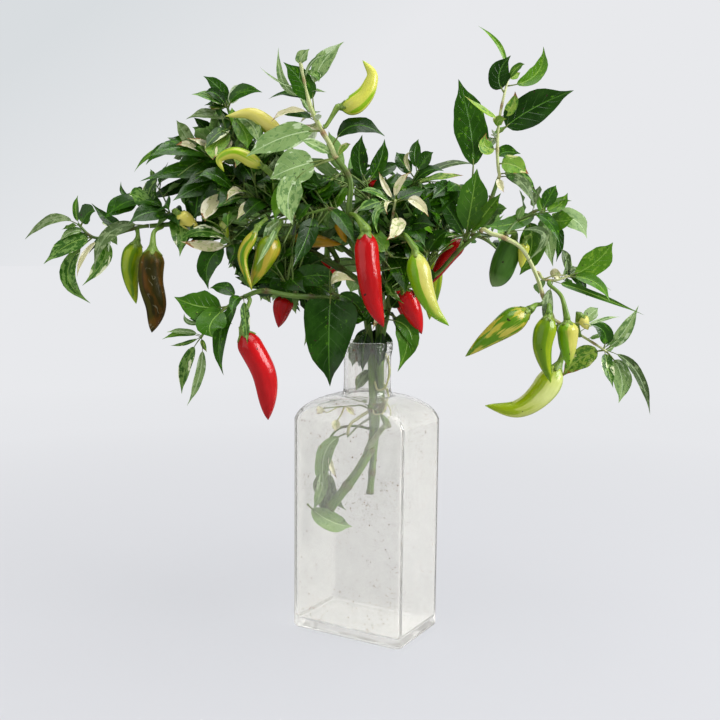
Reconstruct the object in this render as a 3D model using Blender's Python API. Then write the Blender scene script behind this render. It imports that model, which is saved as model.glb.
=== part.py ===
"""Cut chilli pepper stems standing in a clear glass bottle.

Metres, +Z up.  The origin is the middle of the bottle's flat underside and the bottle's
wide sides face along Y.  The stems are laid out in the bouquet's own directions, in
millimetres: across (to the right as it is shown), back (away from the viewer) and up.
TURN carries those directions onto the bottle's axes.
"""

import math
import random

import bmesh
import bpy
from mathutils import Vector
from mathutils.bvhtree import BVHTree

MM = 0.001
GAP = 0.35 * MM
STEP_OFF = 2.5
TURN = math.radians(30.0)
GOLDEN_ANGLE = math.radians(137.5)
UP = Vector((0.0, 0.0, 1.0))

# ---------------------------------------------------------------- bottle, mm
BOTTLE_WIDTH = 86.0
BOTTLE_DEPTH = 57.0
BOTTLE_HEIGHT = 203.0
BOTTLE_CORNER = 4.0
BOTTLE_WALL = 2.6
BOTTLE_FLOOR = 6.0
FOOT_ROUNDING = 3.0
SHOULDER_START = 149.5
SHOULDER_TOP = 166.0
NECK_ROOT_RADIUS = 18.4
NECK_RADIUS = 16.2
NECK_START = 172.0
COLLAR_RADIUS = 17.3
COLLAR_HEIGHT = 6.5
LIP_ROUNDING = 1.2
CORNER_POINTS = 6
SHOULDER_STEPS = 4

# ---------------------------------------------------------------- stems and boughs, mm
# name, parent, share of the parent's length, foot radius, tip radius, route
LIMBS = (
    ("stem_main", None, 0.0, 3.3, 2.6,
     ((-25, 1, 85), (-18, 1, 94), (-3, 0, 116), (5, 0, 136), (4.1, -1.2, 165), (1.5, -1.5, 203),
      (-4, -4, 240))),
    ("stem_second", None, 0.0, 2.4, 2.2,
     ((3, 8, 94), (6, 8, 130), (8, 7, 165), (7.6, 6.4, 203), (10, 6, 240))),
    ("stem_third", None, 0.0, 3.0, 2.3,
     ((15, -4, 144), (9.6, -3.6, 165), (9.4, -4.2, 203), (16, -6, 236))),
    ("bough_left", "stem_main", 1.0, 2.4, 1.5,
     ((-20, -4, 253), (-48, -2, 268), (-90, -2, 279), (-120, -3, 282), (-147, -8, 280))),
    ("bough_upper_left", "bough_left", 0.17, 1.9, 1.4,
     ((-30, 4, 272), (-42, 5, 286), (-62, 3, 302), (-80, 0, 315))),
    ("bough_front_left", "stem_main", 0.93, 2.0, 1.5,
     ((-14, -20, 232), (-28, -28, 234), (-51, -36, 236), (-68, -40, 239), (-80, -40, 235))),
    ("bough_top", "stem_main", 0.975, 2.1, 1.7,
     ((-2, -18, 246), (-9, -24, 270), (-12, -26, 300), (-20, -26, 323))),
    ("bough_centre", "stem_second", 1.0, 2.1, 1.5,
     ((11, 6, 256), (7, 4, 275), (2, 2, 292))),
    ("bough_right", "stem_third", 1.0, 2.2, 1.8,
     ((22, -5, 240), (34, -2, 243), (47, 0, 250), (60, -7, 265), (74, -14, 278))),
    ("bough_drop", "bough_right", 1.0, 1.8, 1.4,
     ((83, -15, 280), (93, -14, 275), (102, -12, 265), (112, -8, 248), (117, -10, 235), (122, -10, 225))),
    ("bough_upright", "bough_right", 0.93, 1.5, 1.3,
     ((73, -8, 284), (80, -6, 296), (86, -5, 313))),
    ("bough_back_left", "stem_second", 0.96, 2.0, 1.5,
     ((6, 22, 246), (-8, 36, 258), (-28, 52, 272), (-46, 68, 280))),
    ("bough_back_right", "stem_second", 0.9, 2.0, 1.5,
     ((18, 20, 238), (30, 34, 254), (46, 50, 268), (62, 62, 274))),
)

# ---------------------------------------------------------------- sprays of leaves, mm
# Each spray: parent, share, twig radius, twig route, leaves it fills in, their length, seed,
# and the leaves that lead its outline: (share of the twig, tip, width, turn to the viewer).
SPRAYS = {
    "spray_far_left": ("bough_left", 1.0, 1.2,
                       ((-158, -9, 278), (-177, -11, 272), (-186, -12, 273), (-194, -12, 281)), 3, 24, 11, (
        (1.0, (-230, -12, 270), 8, 40), (1.0, (-194, -10, 300), 5, 80), (0.95, (-180, -20, 289), 9, 50),
        (0.72, (-216, -18, 254), 12, 60), (0.74, (-189, -14, 229), 11, 70), (0.62, (-193, -24, 241), 8, 60),
        (0.2, (-181, -26, 249), 12, 45), (0.3, (-187, -4, 295), 9, 50))),
    "spray_left": ("bough_left", 0.86, 1.1, ((-140, -4, 288), (-147, -4, 292), (-154, -4, 297)),
                   5, 38, 12, (
        (0.3, (-176, -16, 284), 14, 45), (0.2, (-123, -26, 262), 12, 60), (1.0, (-162, 2, 300), 10, 50),
        (0.4, (-116, -24, 274), 10, 50))),
    "spray_left_front": ("bough_left", 0.64, 1.1, ((-92, -12, 275), (-90, -25, 268)),
                         5, 38, 13, (
        (1.0, (-124, -29, 271), 13, 35), (1.0, (-104, -32, 239), 15, 75))),
    "spray_upper_left": ("bough_upper_left", 1.0, 1.2, ((-84, 2, 326), (-89, 3, 338), (-96, 4, 360)),
                         5, 36, 14, (
        (1.0, (-112, 4, 380), 9, 60), (0.97, (-119, -3, 367), 9, 50), (1.0, (-71, -8, 368), 11, 60),
        (0.8, (-124, 2, 351), 10, 50), (0.7, (-108, -16, 330), 9, 60), (0.9, (-80, -20, 330), 12, 70))),
    "spray_left_upper": ("bough_upper_left", 0.8, 1.1,
                         ((-84, 12, 316), (-102, 10, 322), (-111, 6, 326), (-121, 4, 331)), 5, 40, 15, (
        (1.0, (-157, 2, 315), 5, 40), (0.9, (-146, -8, 318), 9, 40), (0.7, (-139, -18, 322), 12, 45),
        (0.3, (-147, -12, 307), 12, 45), (0.8, (-141, 12, 309), 9, 30), (0.9, (-134, -6, 337), 7, 60),
        (0.4, (-160, 18, 299), 11, 40))),
    "spray_mid_left": ("bough_upper_left", 0.48, 1.2, ((-60, -8, 294), (-78, -15, 299), (-100, -18, 304)),
                       8, 42, 16, (
        (0.95, (-116, -20, 285), 10, 60), (0.8, (-110, -30, 312), 12, 50))),
    "spray_top": ("bough_top", 1.0, 1.3, ((-25, -26, 332), (-33, -26, 347), (-39, -25, 357), (-43, -24, 385)),
                  3, 24, 17, (
        (0.55, (-56, -24, 383), 13, 80), (0.66, (-60, -14, 396), 5, 80), (1.0, (-39, -26, 393), 8, 70),
        (0.5, (-17, -24, 400), 10, 70), (0.6, (-67, -12, 363), 8, 40), (0.5, (-64, -24, 347), 8, 40),
        (0.3, (-78, -36, 325), 15, 60), (0.05, (-65, -42, 311), 21, 65),
        (0.12, (10, -30, 338), 12, 60), (0.02, (-44, -32, 335), 8, 60))),
    "spray_front_mid": ("bough_top", 0.6, 1.2, ((-24, -27, 292), (-42, -26, 288), (-60, -30, 284)),
                        5, 38, 18, (
        (1.0, (-88, -20, 262), 11, 60), (0.5, (-30, -50, 262), 12, 60))),
    "spray_top_centre": ("bough_centre", 1.0, 1.2, ((0, 1, 300), (-2, 0, 311)),
                         7, 40, 19, (
        (1.0, (-5, 0, 342), 11, 80), (1.0, (10, 6, 340), 10, 70), (0.9, (21, 10, 324), 10, 60))),
    "spray_centre_right": ("bough_centre", 0.55, 1.2, ((17, 6, 284), (26, 6, 304), (33, 5, 319)),
                           5, 38, 20, (
        (1.0, (33, 6, 340), 8, 70), (0.95, (43, 2, 331), 9, 70), (0.7, (50, -4, 318), 11, 45),
        (0.8, (64, 6, 316), 7, 35), (0.9, (18, 4, 331), 10, 60), (0.85, (74, 20, 324), 8, 40))),
    "spray_star": ("bough_centre", 0.35, 1.1, ((12, -8, 270), (15, -20, 284), (17, -30, 298)),
                   3, 28, 21, (
        (1.0, (7, -30, 314), 4, 80), (1.0, (27, -30, 314), 5, 80), (1.0, (-9, -40, 291), 7, 60),
        (0.95, (38, -41, 288), 7, 60), (0.85, (12, -42, 276), 10, 80))),
    "spray_right_mid": ("bough_right", 0.84, 1.2, ((65, -6, 279), (67, -6, 292), (66, -6, 306)),
                        6, 38, 22, (
        (0.1, (71, -22, 319), 20, 85), (1.0, (56, -6, 378), 22, 85), (0.1, (46, -22, 300), 9, 60),
        (0.1, (85, -30, 303), 9, 70), (0.1, (42, -20, 272), 6, 40))),
    "spray_centre_low": ("bough_right", 0.4, 1.1, ((38, -12, 254), (38, -18, 264)),
                         7, 42, 23, (
        (0.9, (52, -22, 278), 11, 60), (0.6, (30, -26, 234), 13, 80))),
    "spray_upright": ("bough_upright", 1.0, 1.1, ((86, -5, 320), (85, -5, 333), (86, -5, 354), (91, -5, 379)),
                      4, 18, 24, (
        (1.0, (70, -6, 412), 4, 60), (0.85, (91, -8, 393), 12, 85), (0.92, (114, -2, 400), 10, 70),
        (0.45, (134, -8, 371), 21, 80), (0.6, (60, -26, 365), 5, 60), (0.6, (95, -10, 370), 7, 80),
        (0.15, (105, -14, 316), 12, 70), (0.3, (76, -9, 342), 9, 70), (0.05, (112, -8, 303), 11, 60))),
    "spray_right_outer": ("bough_drop", 0.24, 1.1,
                          ((98, -4, 284), (106, -1, 289), (115, 0, 293), (124, 3, 287)), 4, 32, 25, (
        (0.8, (77, -10, 282), 11, 55), (0.8, (134, 2, 305), 9, 60), (1.0, (136, -7, 290), 11, 60),
        (1.0, (151, 6, 277), 13, 60), (0.6, (127, -12, 271), 9, 45), (0.95, (125, -2, 255), 10, 70),
        (0.5, (104, 6, 248), 13, 75))),
    "spray_right_low": ("bough_drop", 0.66, 1.1, ((118, -5, 247), (126, -5, 246), (135, -6, 249)),
                        3, 26, 26, (
        (1.0, (163, -10, 272), 18, 70), (1.0, (130, -4, 267), 6, 60), (0.95, (160, -20, 233), 9, 60),
        (0.9, (166, 0, 239), 6, 40), (1.0, (187, -2, 212), 5, 45))),
    "spray_right_tip": ("bough_drop", 1.0, 1.1,
                        ((127, -6, 219), (138, -2, 213), (150, -1, 206), (163, -4, 198)), 3, 24, 27, (
        (1.0, (183, -6, 230), 9, 75), (0.95, (149, -12, 217), 11, 75), (1.0, (134, 2, 179), 13, 70),
        (1.0, (171, -14, 163), 14, 85), (1.0, (193, -4, 155), 7, 70), (0.7, (174, 6, 221), 6, 50))),
    "spray_low_left": ("bough_front_left", 1.0, 1.1, ((-90, -41, 229), (-100, -42, 221), (-108, -42, 208)),
                       4, 24, 28, (
        (0.4, (-124, -46, 236), 11, 50), (0.45, (-99, -56, 209), 17, 85), (1.0, (-117, -44, 164), 8, 80),
        (1.0, (-133, -42, 207), 8, 60), (0.1, (-93, -50, 186), 9, 75), (0.1, (-103, -34, 240), 9, 50),
        (1.0, (-122, -34, 172), 7, 80))),
    "spray_front": ("bough_front_left", 0.3, 1.1, ((-25, -34, 238), (-22, -38, 240)),
                    4, 30, 29, (
        (0.6, (-25, -46, 178), 33, 88), (0.2, (-42, -40, 202), 7, 80), (0.9, (-10, -50, 246), 8, 60))),
    "spray_under": ("bough_front_left", 0.62, 1.1, ((-54, -30, 244), (-52, -22, 250)),
                    8, 42, 30, (
        (0.9, (-78, -22, 242), 15, 50), (0.9, (-28, -20, 254), 17, 60))),
    "spray_neck": ("stem_third", 0.87, 1.1, ((14, -14, 226), (13, -18, 219)),
                   4, 26, 31, (
        (1.0, (30, -22, 198), 11, 70), (0.7, (24, -13, 186), 9, 60))),
    "spray_inside": ("stem_main", 0.4, 1.0, ((-8, 6, 143), (-20, 7, 140), (-27, 7, 128), (-23, 6, 112)),
                     0, 20, 32, (
        (1.0, (-32, 6, 90), 9, 80), (0.97, (-13, 13, 80), 8, 70))),
    "spray_back_left": ("bough_back_left", 1.0, 1.2, ((-58, 76, 282), (-74, 84, 282), (-90, 88, 274)),
                        14, 42, 33, ()),
    "spray_back_top": ("bough_back_left", 0.5, 1.2, ((-16, 40, 276), (-14, 44, 296), (-18, 50, 318)),
                       12, 44, 34, ()),
    "spray_back_low": ("bough_back_left", 0.3, 1.2, ((2, 42, 254), (0, 56, 252), (-6, 74, 240)),
                       12, 42, 36, ()),
    "spray_back_right": ("bough_back_right", 1.0, 1.2, ((74, 66, 276), (86, 70, 274), (100, 74, 262)),
                         14, 42, 35, ()),
}

# ---------------------------------------------------------------- peppers, mm
# name: parent, share, bend points of the stalk, body from shoulder to tip, width, fullness, colour
PEPPERS = {
    "pepper_red_centre": ("bough_top", 0.62, ((-8, -36, 287),),
                          ((-1, -44, 273), (6, -46, 219)), 16.5, 3.2, "red"),
    "pepper_red_left": ("bough_front_left", 0.97, ((-79, -45, 224),),
                        ((-75, -47, 211), (-61, -47, 183), (-63, -46, 156)), 15.5, 3.2, "red"),
    "pepper_red_small": ("bough_front_left", 0.5, ((-52, -18, 242),),
                         ((-56, -12, 234), (-60, -14, 213)), 14, 2.0, "red"),
    "pepper_red_right": ("bough_right", 0.25, ((24, -15, 248),),
                         ((24, -19, 239), (36, -18, 210)), 14, 2.6, "red"),
    "pepper_red_slant": ("bough_right", 0.75, ((68, 14, 276),),
                         ((65, 21, 272), (45, 24, 249)), 13, 2.6, "red"),
    "pepper_striped_front": ("spray_star", 0.45, ((22, -35, 276),),
                             ((30, -43, 264), (36, -45, 240), (50, -43, 222)), 16, 2.4, "striped"),
    "pepper_upright": ("spray_top", 0.2, ((-23, -26, 349),),
                       ((-17, -26, 356), (-3, -26, 356), (4, -26, 369), (-5, -26, 384)), 13.5, 2.2, "striped"),
    "pepper_cream_upper": ("bough_upper_left", 0.85, ((-58, -8, 322), (-52, -12, 332)),
                           ((-58, -12, 339), (-76, -12, 353), (-95, -12, 352)), 12, 1.8, "yellow"),
    "pepper_hook": ("spray_mid_left", 0.3, ((-62, -18, 302), (-62, -23, 311)),
                    ((-70, -26, 319), (-86, -28, 327), (-97, -28, 323), (-94, -28, 315)), 10, 2.0, "striped"),
    "pepper_green_left": ("spray_far_left", 0.16, (),
                          ((-155, -12, 269), (-160, -12, 251), (-156, -12, 228)), 14, 2.2, "green"),
    "pepper_olive": ("bough_left", 0.95, ((-142, -18, 276),),
                     ((-142, -24, 264), (-144, -25, 210)), 17, 3.4, "olive"),
    "pepper_yellow": ("spray_front_mid", 0.95, (),
                      ((-66, -38, 274), (-74, -40, 256), (-72, -40, 240)), 16, 2.2, "yellow"),
    "pepper_ochre": ("bough_left", 0.36, ((-58, -10, 272),),
                     ((-50, -14, 273), (-18, -13, 269)), 11, 1.8, "yellow"),
    "pepper_dark_green": ("bough_drop", 0.2, ((98, 0, 278),),
                          ((97, 6, 271), (87, 6, 243)), 16.5, 4.0, "green"),
    "pepper_striped_right": ("bough_drop", 0.79, ((112, -20, 231),),
                             ((106, -24, 226), (65, -26, 197)), 18.5, 1.7, "striped"),
    "pepper_green_hanging": ("bough_drop", 0.93, ((120, -20, 230),),
                             ((119, -24, 223), (118, -24, 201), (122, -24, 179)), 15, 2.4, "green"),
    "pepper_cream_hanging": ("spray_right_low", 0.5, ((129, -14, 236),),
                             ((133, -16, 219), (135, -16, 189)), 13, 2.4, "striped"),
    "pepper_pale_curved": ("spray_right_tip", 0.25, ((133, -4, 204), (133, -3, 195)),
                           ((130, -3, 186), (119, -4, 168), (103, -5, 159), (82, -6, 159)), 17, 1.9, "green"),
    "pepper_red_back": ("bough_back_left", 0.62, ((-30, 62, 268),),
                        ((-31, 64, 258), (-34, 66, 208)), 15, 3.0, "red"),
    "pepper_green_back": ("bough_back_right", 0.8, ((52, 60, 264),),
                          ((52, 62, 255), (58, 64, 209)), 15, 2.4, "green"),
}
STALK_RADIUS = 1.25
BODY_RINGS = 6

# ---------------------------------------------------------------- leaves
LEAF_THICKNESS = 0.7
NECK_HALF_WIDTH = 0.55
NECK_LENGTH = 1.8
BROAD_LEAF = 8.5
LEAF_FOLD = 0.16
LEAF_ARCH = 0.10
CLEARANCE = 0.45
LAST_ROOT = 0.97
TRIES = 9

COLOURS = {
    "glass": ("#DDE2DC", 0.08), "stem": ("#7E9A4C", 0.55), "leaf": ("#2F6A22", 0.42),
    "red": ("#C81E20", 0.22), "green": ("#8DAE2E", 0.28), "striped": ("#C2C65A", 0.28),
    "yellow": ("#D6B93C", 0.28), "olive": ("#54451A", 0.26),
}


def place(point):
    """Bouquet millimetres (across, back, up) to metres on the bottle's axes."""
    across, back, up = point
    return Vector((across * math.cos(TURN) - back * math.sin(TURN),
                   across * math.sin(TURN) + back * math.cos(TURN), up)) * MM


VIEWER = place((0.0, -1000.0, 0.0)).normalized()


def linear(hex_colour):
    """sRGB hex to linear RGBA."""
    values = [int(hex_colour[i:i + 2], 16) / 255.0 for i in (1, 3, 5)]
    return [v / 12.92 if v <= 0.04045 else ((v + 0.055) / 1.055) ** 2.4 for v in values] + [1.0]


def material(name):
    """The Principled material of one finish, made once."""
    if name not in bpy.data.materials:
        finish = bpy.data.materials.new(name)
        finish.use_nodes = True
        shader = finish.node_tree.nodes["Principled BSDF"]
        shader.inputs["Base Color"].default_value = linear(COLOURS[name][0])
        shader.inputs["Roughness"].default_value = COLOURS[name][1]
        if name == "glass":
            shader.inputs["Transmission Weight"].default_value = 1.0
    return bpy.data.materials[name]


def clear_scene():
    for item in list(bpy.data.objects):
        bpy.data.objects.remove(item)


def new_object(name, mesh, finish, collection):
    """An object in the collection that carries the mesh and its own finish."""
    mesh.materials.clear()
    mesh.materials.append(material(finish))
    item = bpy.data.objects.new(name, mesh)
    collection.objects.link(item)
    return item


def smooth(points, steps, before=None):
    """Catmull-Rom curve through the points, in `steps` pieces between each pair."""
    ends = [before or points[0] * 2 - points[1], *points, points[-1] * 2 - points[-2]]
    route = []
    for last, start, end, after in zip(ends, ends[1:], ends[2:], ends[3:]):
        for step in range(steps):
            t = step / steps
            route.append(0.5 * (2 * start + (end - last) * t
                                + (2 * last - 5 * start + 4 * end - after) * t ** 2
                                + (3 * start - last - 3 * end + after) * t ** 3))
    route.append(points[-1])
    return route


def tube(name, route, radii, finish, collection, resolution=1):
    """A closed round tube along the route, with 4 + 2 x resolution sides."""
    curve = bpy.data.curves.new(name, "CURVE")
    curve.dimensions = "3D"
    curve.bevel_depth = max(radii)
    curve.bevel_resolution = resolution
    curve.use_fill_caps = True
    spline = curve.splines.new("POLY")
    spline.points.add(len(route) - 1)
    for point, spot, radius in zip(spline.points, route, radii):
        point.co = (*spot, 1.0)
        point.radius = radius / curve.bevel_depth
    holder = bpy.data.objects.new(name, curve)
    collection.objects.link(holder)
    bpy.context.view_layer.update()
    mesh = bpy.data.meshes.new_from_object(holder.evaluated_get(bpy.context.evaluated_depsgraph_get()))
    bpy.data.objects.remove(holder)
    bpy.data.curves.remove(curve)
    weld(mesh)
    mesh.name = name
    return new_object(name, mesh, finish, collection)


def weld(mesh):
    """Close the tube's caps onto its walls, with every face pointing out."""
    body = bmesh.new()
    body.from_mesh(mesh)
    bmesh.ops.remove_doubles(body, verts=body.verts, dist=0.01 * MM)
    bmesh.ops.recalc_face_normals(body, faces=body.faces)
    body.to_mesh(mesh)
    body.free()


class Limb:
    """A tapering round limb: its route, its radius along it, and places on its skin."""

    def __init__(self, route, foot_radius, tip_radius):
        self.route = route
        lengths = [(b - a).length for a, b in zip(route, route[1:])]
        self.length = sum(lengths)
        self.shares = [sum(lengths[:i]) / self.length for i in range(len(route))]
        self.radii = [foot_radius + (tip_radius - foot_radius) * share for share in self.shares]

    def at(self, share):
        """Point, direction and radius at a share of the length."""
        i = max(k for k in range(len(self.route) - 1) if self.shares[k] <= share or k == 0)
        local = (share - self.shares[i]) / (self.shares[i + 1] - self.shares[i])
        local = min(1.0, local)
        point = self.route[i].lerp(self.route[i + 1], local)
        along = (self.route[i + 1] - self.route[i]).normalized()
        return point, along, self.radii[i] + (self.radii[i + 1] - self.radii[i]) * local

    def seat(self, share, toward):
        """A start just clear of the limb: straight on from its tip, or square off its side."""
        point, along, radius = self.at(share)
        if share >= 1.0:
            return point + along * GAP, along
        aside = toward - point
        aside -= aside.project(along)
        aside.normalize()
        return point + aside * (radius + GAP), aside


def rooted_route(parent, share, points, steps):
    """A smooth route that starts at a seat on the parent and leaves it straight."""
    start, direction = parent.seat(share, points[0])
    knee = start + direction * STEP_OFF * MM
    return [start, *smooth([knee, *points], steps, start)]


# ---------------------------------------------------------------- leaves as solids
def leaf_frame(root, tip, turn):
    """The leaf's direction, its sideways direction and its upper side's direction."""
    along = (tip - root).normalized()
    upper = UP * math.cos(turn) + VIEWER * math.sin(turn)
    upper -= upper.project(along)
    if upper.length < 0.05:
        upper = VIEWER - VIEWER.project(along)
    upper.normalize()
    return along, upper.cross(along), upper


def leaf_body(root, tip, width, turn, stations, swell=0.0):
    """A leaf as a flattened four-sided spindle: two edges, an upper and a lower rib.

    The rings of a four-sided sphere are moved along the leaf.  The first one is its neck,
    just outside the twig, and the edges stand above the rib as a shallow V.
    """
    along, sideways, upper = leaf_frame(root, tip, turn)
    length = (tip - root).length
    neck = NECK_LENGTH * MM / length
    rings = {3: ((neck, 0.0), (0.36, 1.0), (0.68, 0.72)), 2: ((neck, 0.0), (0.46, 1.0))}[stations]
    thick = max(LEAF_THICKNESS * MM, length / 90.0) * 0.5 + swell
    body = bmesh.new()
    bmesh.ops.create_uvsphere(body, u_segments=4, v_segments=stations + 1, radius=1.0)
    for vertex in body.verts:
        polar = math.acos(max(-1.0, min(1.0, -vertex.co.z))) / math.pi
        ring = round(polar * (stations + 1))
        if ring == 0:
            vertex.co = root
            continue
        if ring == stations + 1:
            vertex.co = tip + along * swell
            continue
        share, breadth = rings[ring - 1]
        reach = math.hypot(vertex.co.x, vertex.co.y)
        side, rib = vertex.co.x / reach, vertex.co.y / reach
        half = max(NECK_HALF_WIDTH * MM, width * 0.5 * breadth) + swell
        lift = LEAF_FOLD * width * breadth * abs(side) + LEAF_ARCH * length * 4 * share * (1 - share)
        vertex.co = (root + along * (share * length) + sideways * (side * half)
                     + upper * (rib * thick + lift))
    return body


def skin_tree(body, root=None):
    """A search tree of the faces, without those of the neck when a root is given."""
    spots = [vertex.co.copy() for vertex in body.verts]
    reach = NECK_LENGTH * 1.5 * MM
    faces = [[vertex.index for vertex in face.verts] for face in body.faces
             if root is None or all((vertex.co - root).length > reach for vertex in face.verts)]
    return BVHTree.FromPolygons(spots, faces)


def object_tree(item):
    body = bmesh.new()
    body.from_mesh(item.data)
    body.verts.index_update()
    tree = skin_tree(body)
    body.free()
    return tree


class Placed:
    """What is already placed, so that a new leaf or twig keeps clear of it."""

    def __init__(self):
        self.trees = []

    def add(self, owner, whole, blade=None):
        self.trees.append((owner, whole, blade or whole))

    def free(self, owner, whole, blade):
        """True when the whole leaf clears the other parts, and its blade its own spray."""
        for name, other_whole, other_blade in self.trees:
            hit = blade.overlap(other_blade) if name == owner else whole.overlap(other_whole)
            if hit:
                return False
        return True


# ---------------------------------------------------------------- sub-parts
def rounded_ring(half_width, half_depth, corner, height):
    """Points round a rectangle with round corners, or a circle when the corners meet."""
    points = []
    for quarter in range(4):
        centre_x = (half_width - corner) * (1 if quarter in (0, 3) else -1)
        centre_y = (half_depth - corner) * (1 if quarter in (0, 1) else -1)
        for step in range(CORNER_POINTS):
            angle = math.radians(90.0 * (quarter + (step + 0.5) / CORNER_POINTS))
            points.append(Vector((centre_x + corner * math.cos(angle),
                                  centre_y + corner * math.sin(angle), height)) * MM)
    return points


def shoulder_ring(share, inset, start, top):
    """A ring of the shoulder: a quarter ellipse from the square body in to the round neck."""
    inward = 1.0 - math.cos(share * math.pi / 2)
    neck = NECK_ROOT_RADIUS - inset
    half_width = (BOTTLE_WIDTH / 2 - inset) * (1 - inward) + neck * inward
    half_depth = (BOTTLE_DEPTH / 2 - inset) * (1 - inward) + neck * inward
    corner = max(1.0, BOTTLE_CORNER - inset) * (1 - inward) + neck * inward
    return rounded_ring(half_width, half_depth, corner, start + (top - start) * math.sin(share * math.pi / 2))


def build_bottle(collection):
    """Outer skin from the foot up to the lip, then the inner skin down to the floor."""
    half_width, half_depth = BOTTLE_WIDTH / 2, BOTTLE_DEPTH / 2
    wall = BOTTLE_WALL
    neck_in = NECK_RADIUS - wall
    collar_foot = BOTTLE_HEIGHT - COLLAR_HEIGHT
    inner_corner = BOTTLE_CORNER - wall
    inner_start, inner_top = SHOULDER_START - 1.0, SHOULDER_TOP - 2.2
    foot = FOOT_ROUNDING

    def round_ring(radius, height):
        return rounded_ring(radius, radius, radius, height)

    def body_ring(inset, corner, height):
        return rounded_ring(half_width - inset, half_depth - inset, corner, height)

    shares = [step / SHOULDER_STEPS for step in range(SHOULDER_STEPS + 1)]
    rings = [body_ring(foot, BOTTLE_CORNER, 0.0), body_ring(foot * 0.3, BOTTLE_CORNER, foot * 0.3),
             body_ring(0.0, BOTTLE_CORNER, foot)]
    rings += [shoulder_ring(share, 0.0, SHOULDER_START, SHOULDER_TOP) for share in shares]
    rings += [round_ring(NECK_RADIUS + 0.5, SHOULDER_TOP + 2.0), round_ring(NECK_RADIUS, NECK_START),
              round_ring(NECK_RADIUS, collar_foot), round_ring(COLLAR_RADIUS, collar_foot + 1.0),
              round_ring(COLLAR_RADIUS, BOTTLE_HEIGHT - LIP_ROUNDING),
              round_ring(COLLAR_RADIUS - LIP_ROUNDING, BOTTLE_HEIGHT),
              round_ring(neck_in + 0.6, BOTTLE_HEIGHT), round_ring(neck_in, BOTTLE_HEIGHT - LIP_ROUNDING),
              round_ring(neck_in, NECK_START - 1.0)]
    rings += [shoulder_ring(share, wall, inner_start, inner_top) for share in reversed(shares)]
    rings += [body_ring(wall, inner_corner, BOTTLE_FLOOR + foot),
              body_ring(wall + foot, inner_corner, BOTTLE_FLOOR)]

    body = bmesh.new()
    loops = [[body.verts.new(point) for point in ring] for ring in rings]
    body.faces.new(loops[0])
    body.faces.new(loops[-1])
    for lower, upper in zip(loops, loops[1:]):
        for i in range(len(lower)):
            body.faces.new((lower[i - 1], lower[i], upper[i], upper[i - 1]))
    bmesh.ops.recalc_face_normals(body, faces=body.faces)
    mesh = bpy.data.meshes.new("bottle")
    body.to_mesh(mesh)
    body.free()
    return new_object("bottle", mesh, "glass", collection)


def build_limbs(collection, placed):
    """The cut stems and the boughs that grow from them."""
    limbs = {}
    for name, parent, share, foot_radius, tip_radius, route in LIMBS:
        points = [place(point) for point in route]
        curve = rooted_route(limbs[parent], share, points, 2) if parent else smooth(points, 2)
        limbs[name] = Limb(curve, foot_radius * MM, tip_radius * MM)
        item = tube(name, limbs[name].route, limbs[name].radii, "stem", collection)
        placed.add(name, object_tree(item))
    return limbs


def pepper_radii(route, shoulder, width, fullness):
    """Radius along a pepper: slim stalk, calyx, full shoulder, then a taper to the tip."""
    lengths = [0.0]
    for a, b in zip(route[shoulder:], route[shoulder + 1:]):
        lengths.append(lengths[-1] + (b - a).length)
    radii = [STALK_RADIUS * MM] * (shoulder - 1) + [STALK_RADIUS * 1.5 * MM]
    for length in lengths:
        share = length / lengths[-1]
        rise = math.sin(math.pi / 2 * min(1.0, (share + 0.05) / 0.25)) ** 0.6
        taper = max(0.05, (1 - share ** fullness)) ** 0.8
        radii.append(width / 2 * rise * taper)
    return radii


def build_pepper(name, design, limbs, collection):
    """A pepper with its stalk, as one body that starts just clear of its bough."""
    parent, share, bends, body, width, fullness, colour = design
    body = [place(point) for point in body]
    before = body[0] - (body[1] - body[0]).normalized() * 3.0 * MM
    stalk_route = rooted_route(limbs[parent], share, [place(point) for point in bends] + [before], 1)
    steps = max(2, round(BODY_RINGS / (len(body) - 1)))
    body_route = smooth(body, steps)
    route = stalk_route + body_route
    radii = pepper_radii(route, len(stalk_route), width * MM, fullness)
    return tube(name, route, radii, colour, collection, resolution=2)


def join(base, pieces):
    """One Boolean union makes the twigs and leaves a single body, and loose scraps are dropped."""
    for solver in ("EXACT", "MANIFOLD"):
        union = base.modifiers.new("join", "BOOLEAN")
        union.operation = "UNION"
        union.operand_type = "COLLECTION"
        union.solver = solver
        union.collection = pieces
        bpy.context.view_layer.update()
        mesh = bpy.data.meshes.new_from_object(base.evaluated_get(bpy.context.evaluated_depsgraph_get()))
        base.modifiers.remove(union)
        if keep_largest_body(mesh):
            break
    for piece in list(pieces.objects):
        bpy.data.objects.remove(piece)
    base.data = mesh
    mesh.name = base.name


def keep_largest_body(mesh):
    """Keep the mesh's largest connected body, and tell whether it is closed and was the only one."""
    body = bmesh.new()
    body.from_mesh(mesh)
    waiting = set(body.faces)
    groups = []
    while waiting:
        front = [waiting.pop()]
        group = set(front)
        while front:
            neighbours = {face for edge in front.pop().edges for face in edge.link_faces} - group
            group |= neighbours
            front.extend(neighbours)
        waiting -= group
        groups.append(group)
    groups.sort(key=len)
    scraps = [face for group in groups[:-1] for face in group]
    bmesh.ops.delete(body, geom=scraps, context="FACES")
    closed = len(groups) == 1 and all(len(edge.link_faces) == 2 for edge in body.edges)
    bmesh.ops.triangulate(body, faces=body.faces)
    body.to_mesh(mesh)
    body.free()
    return closed


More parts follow.
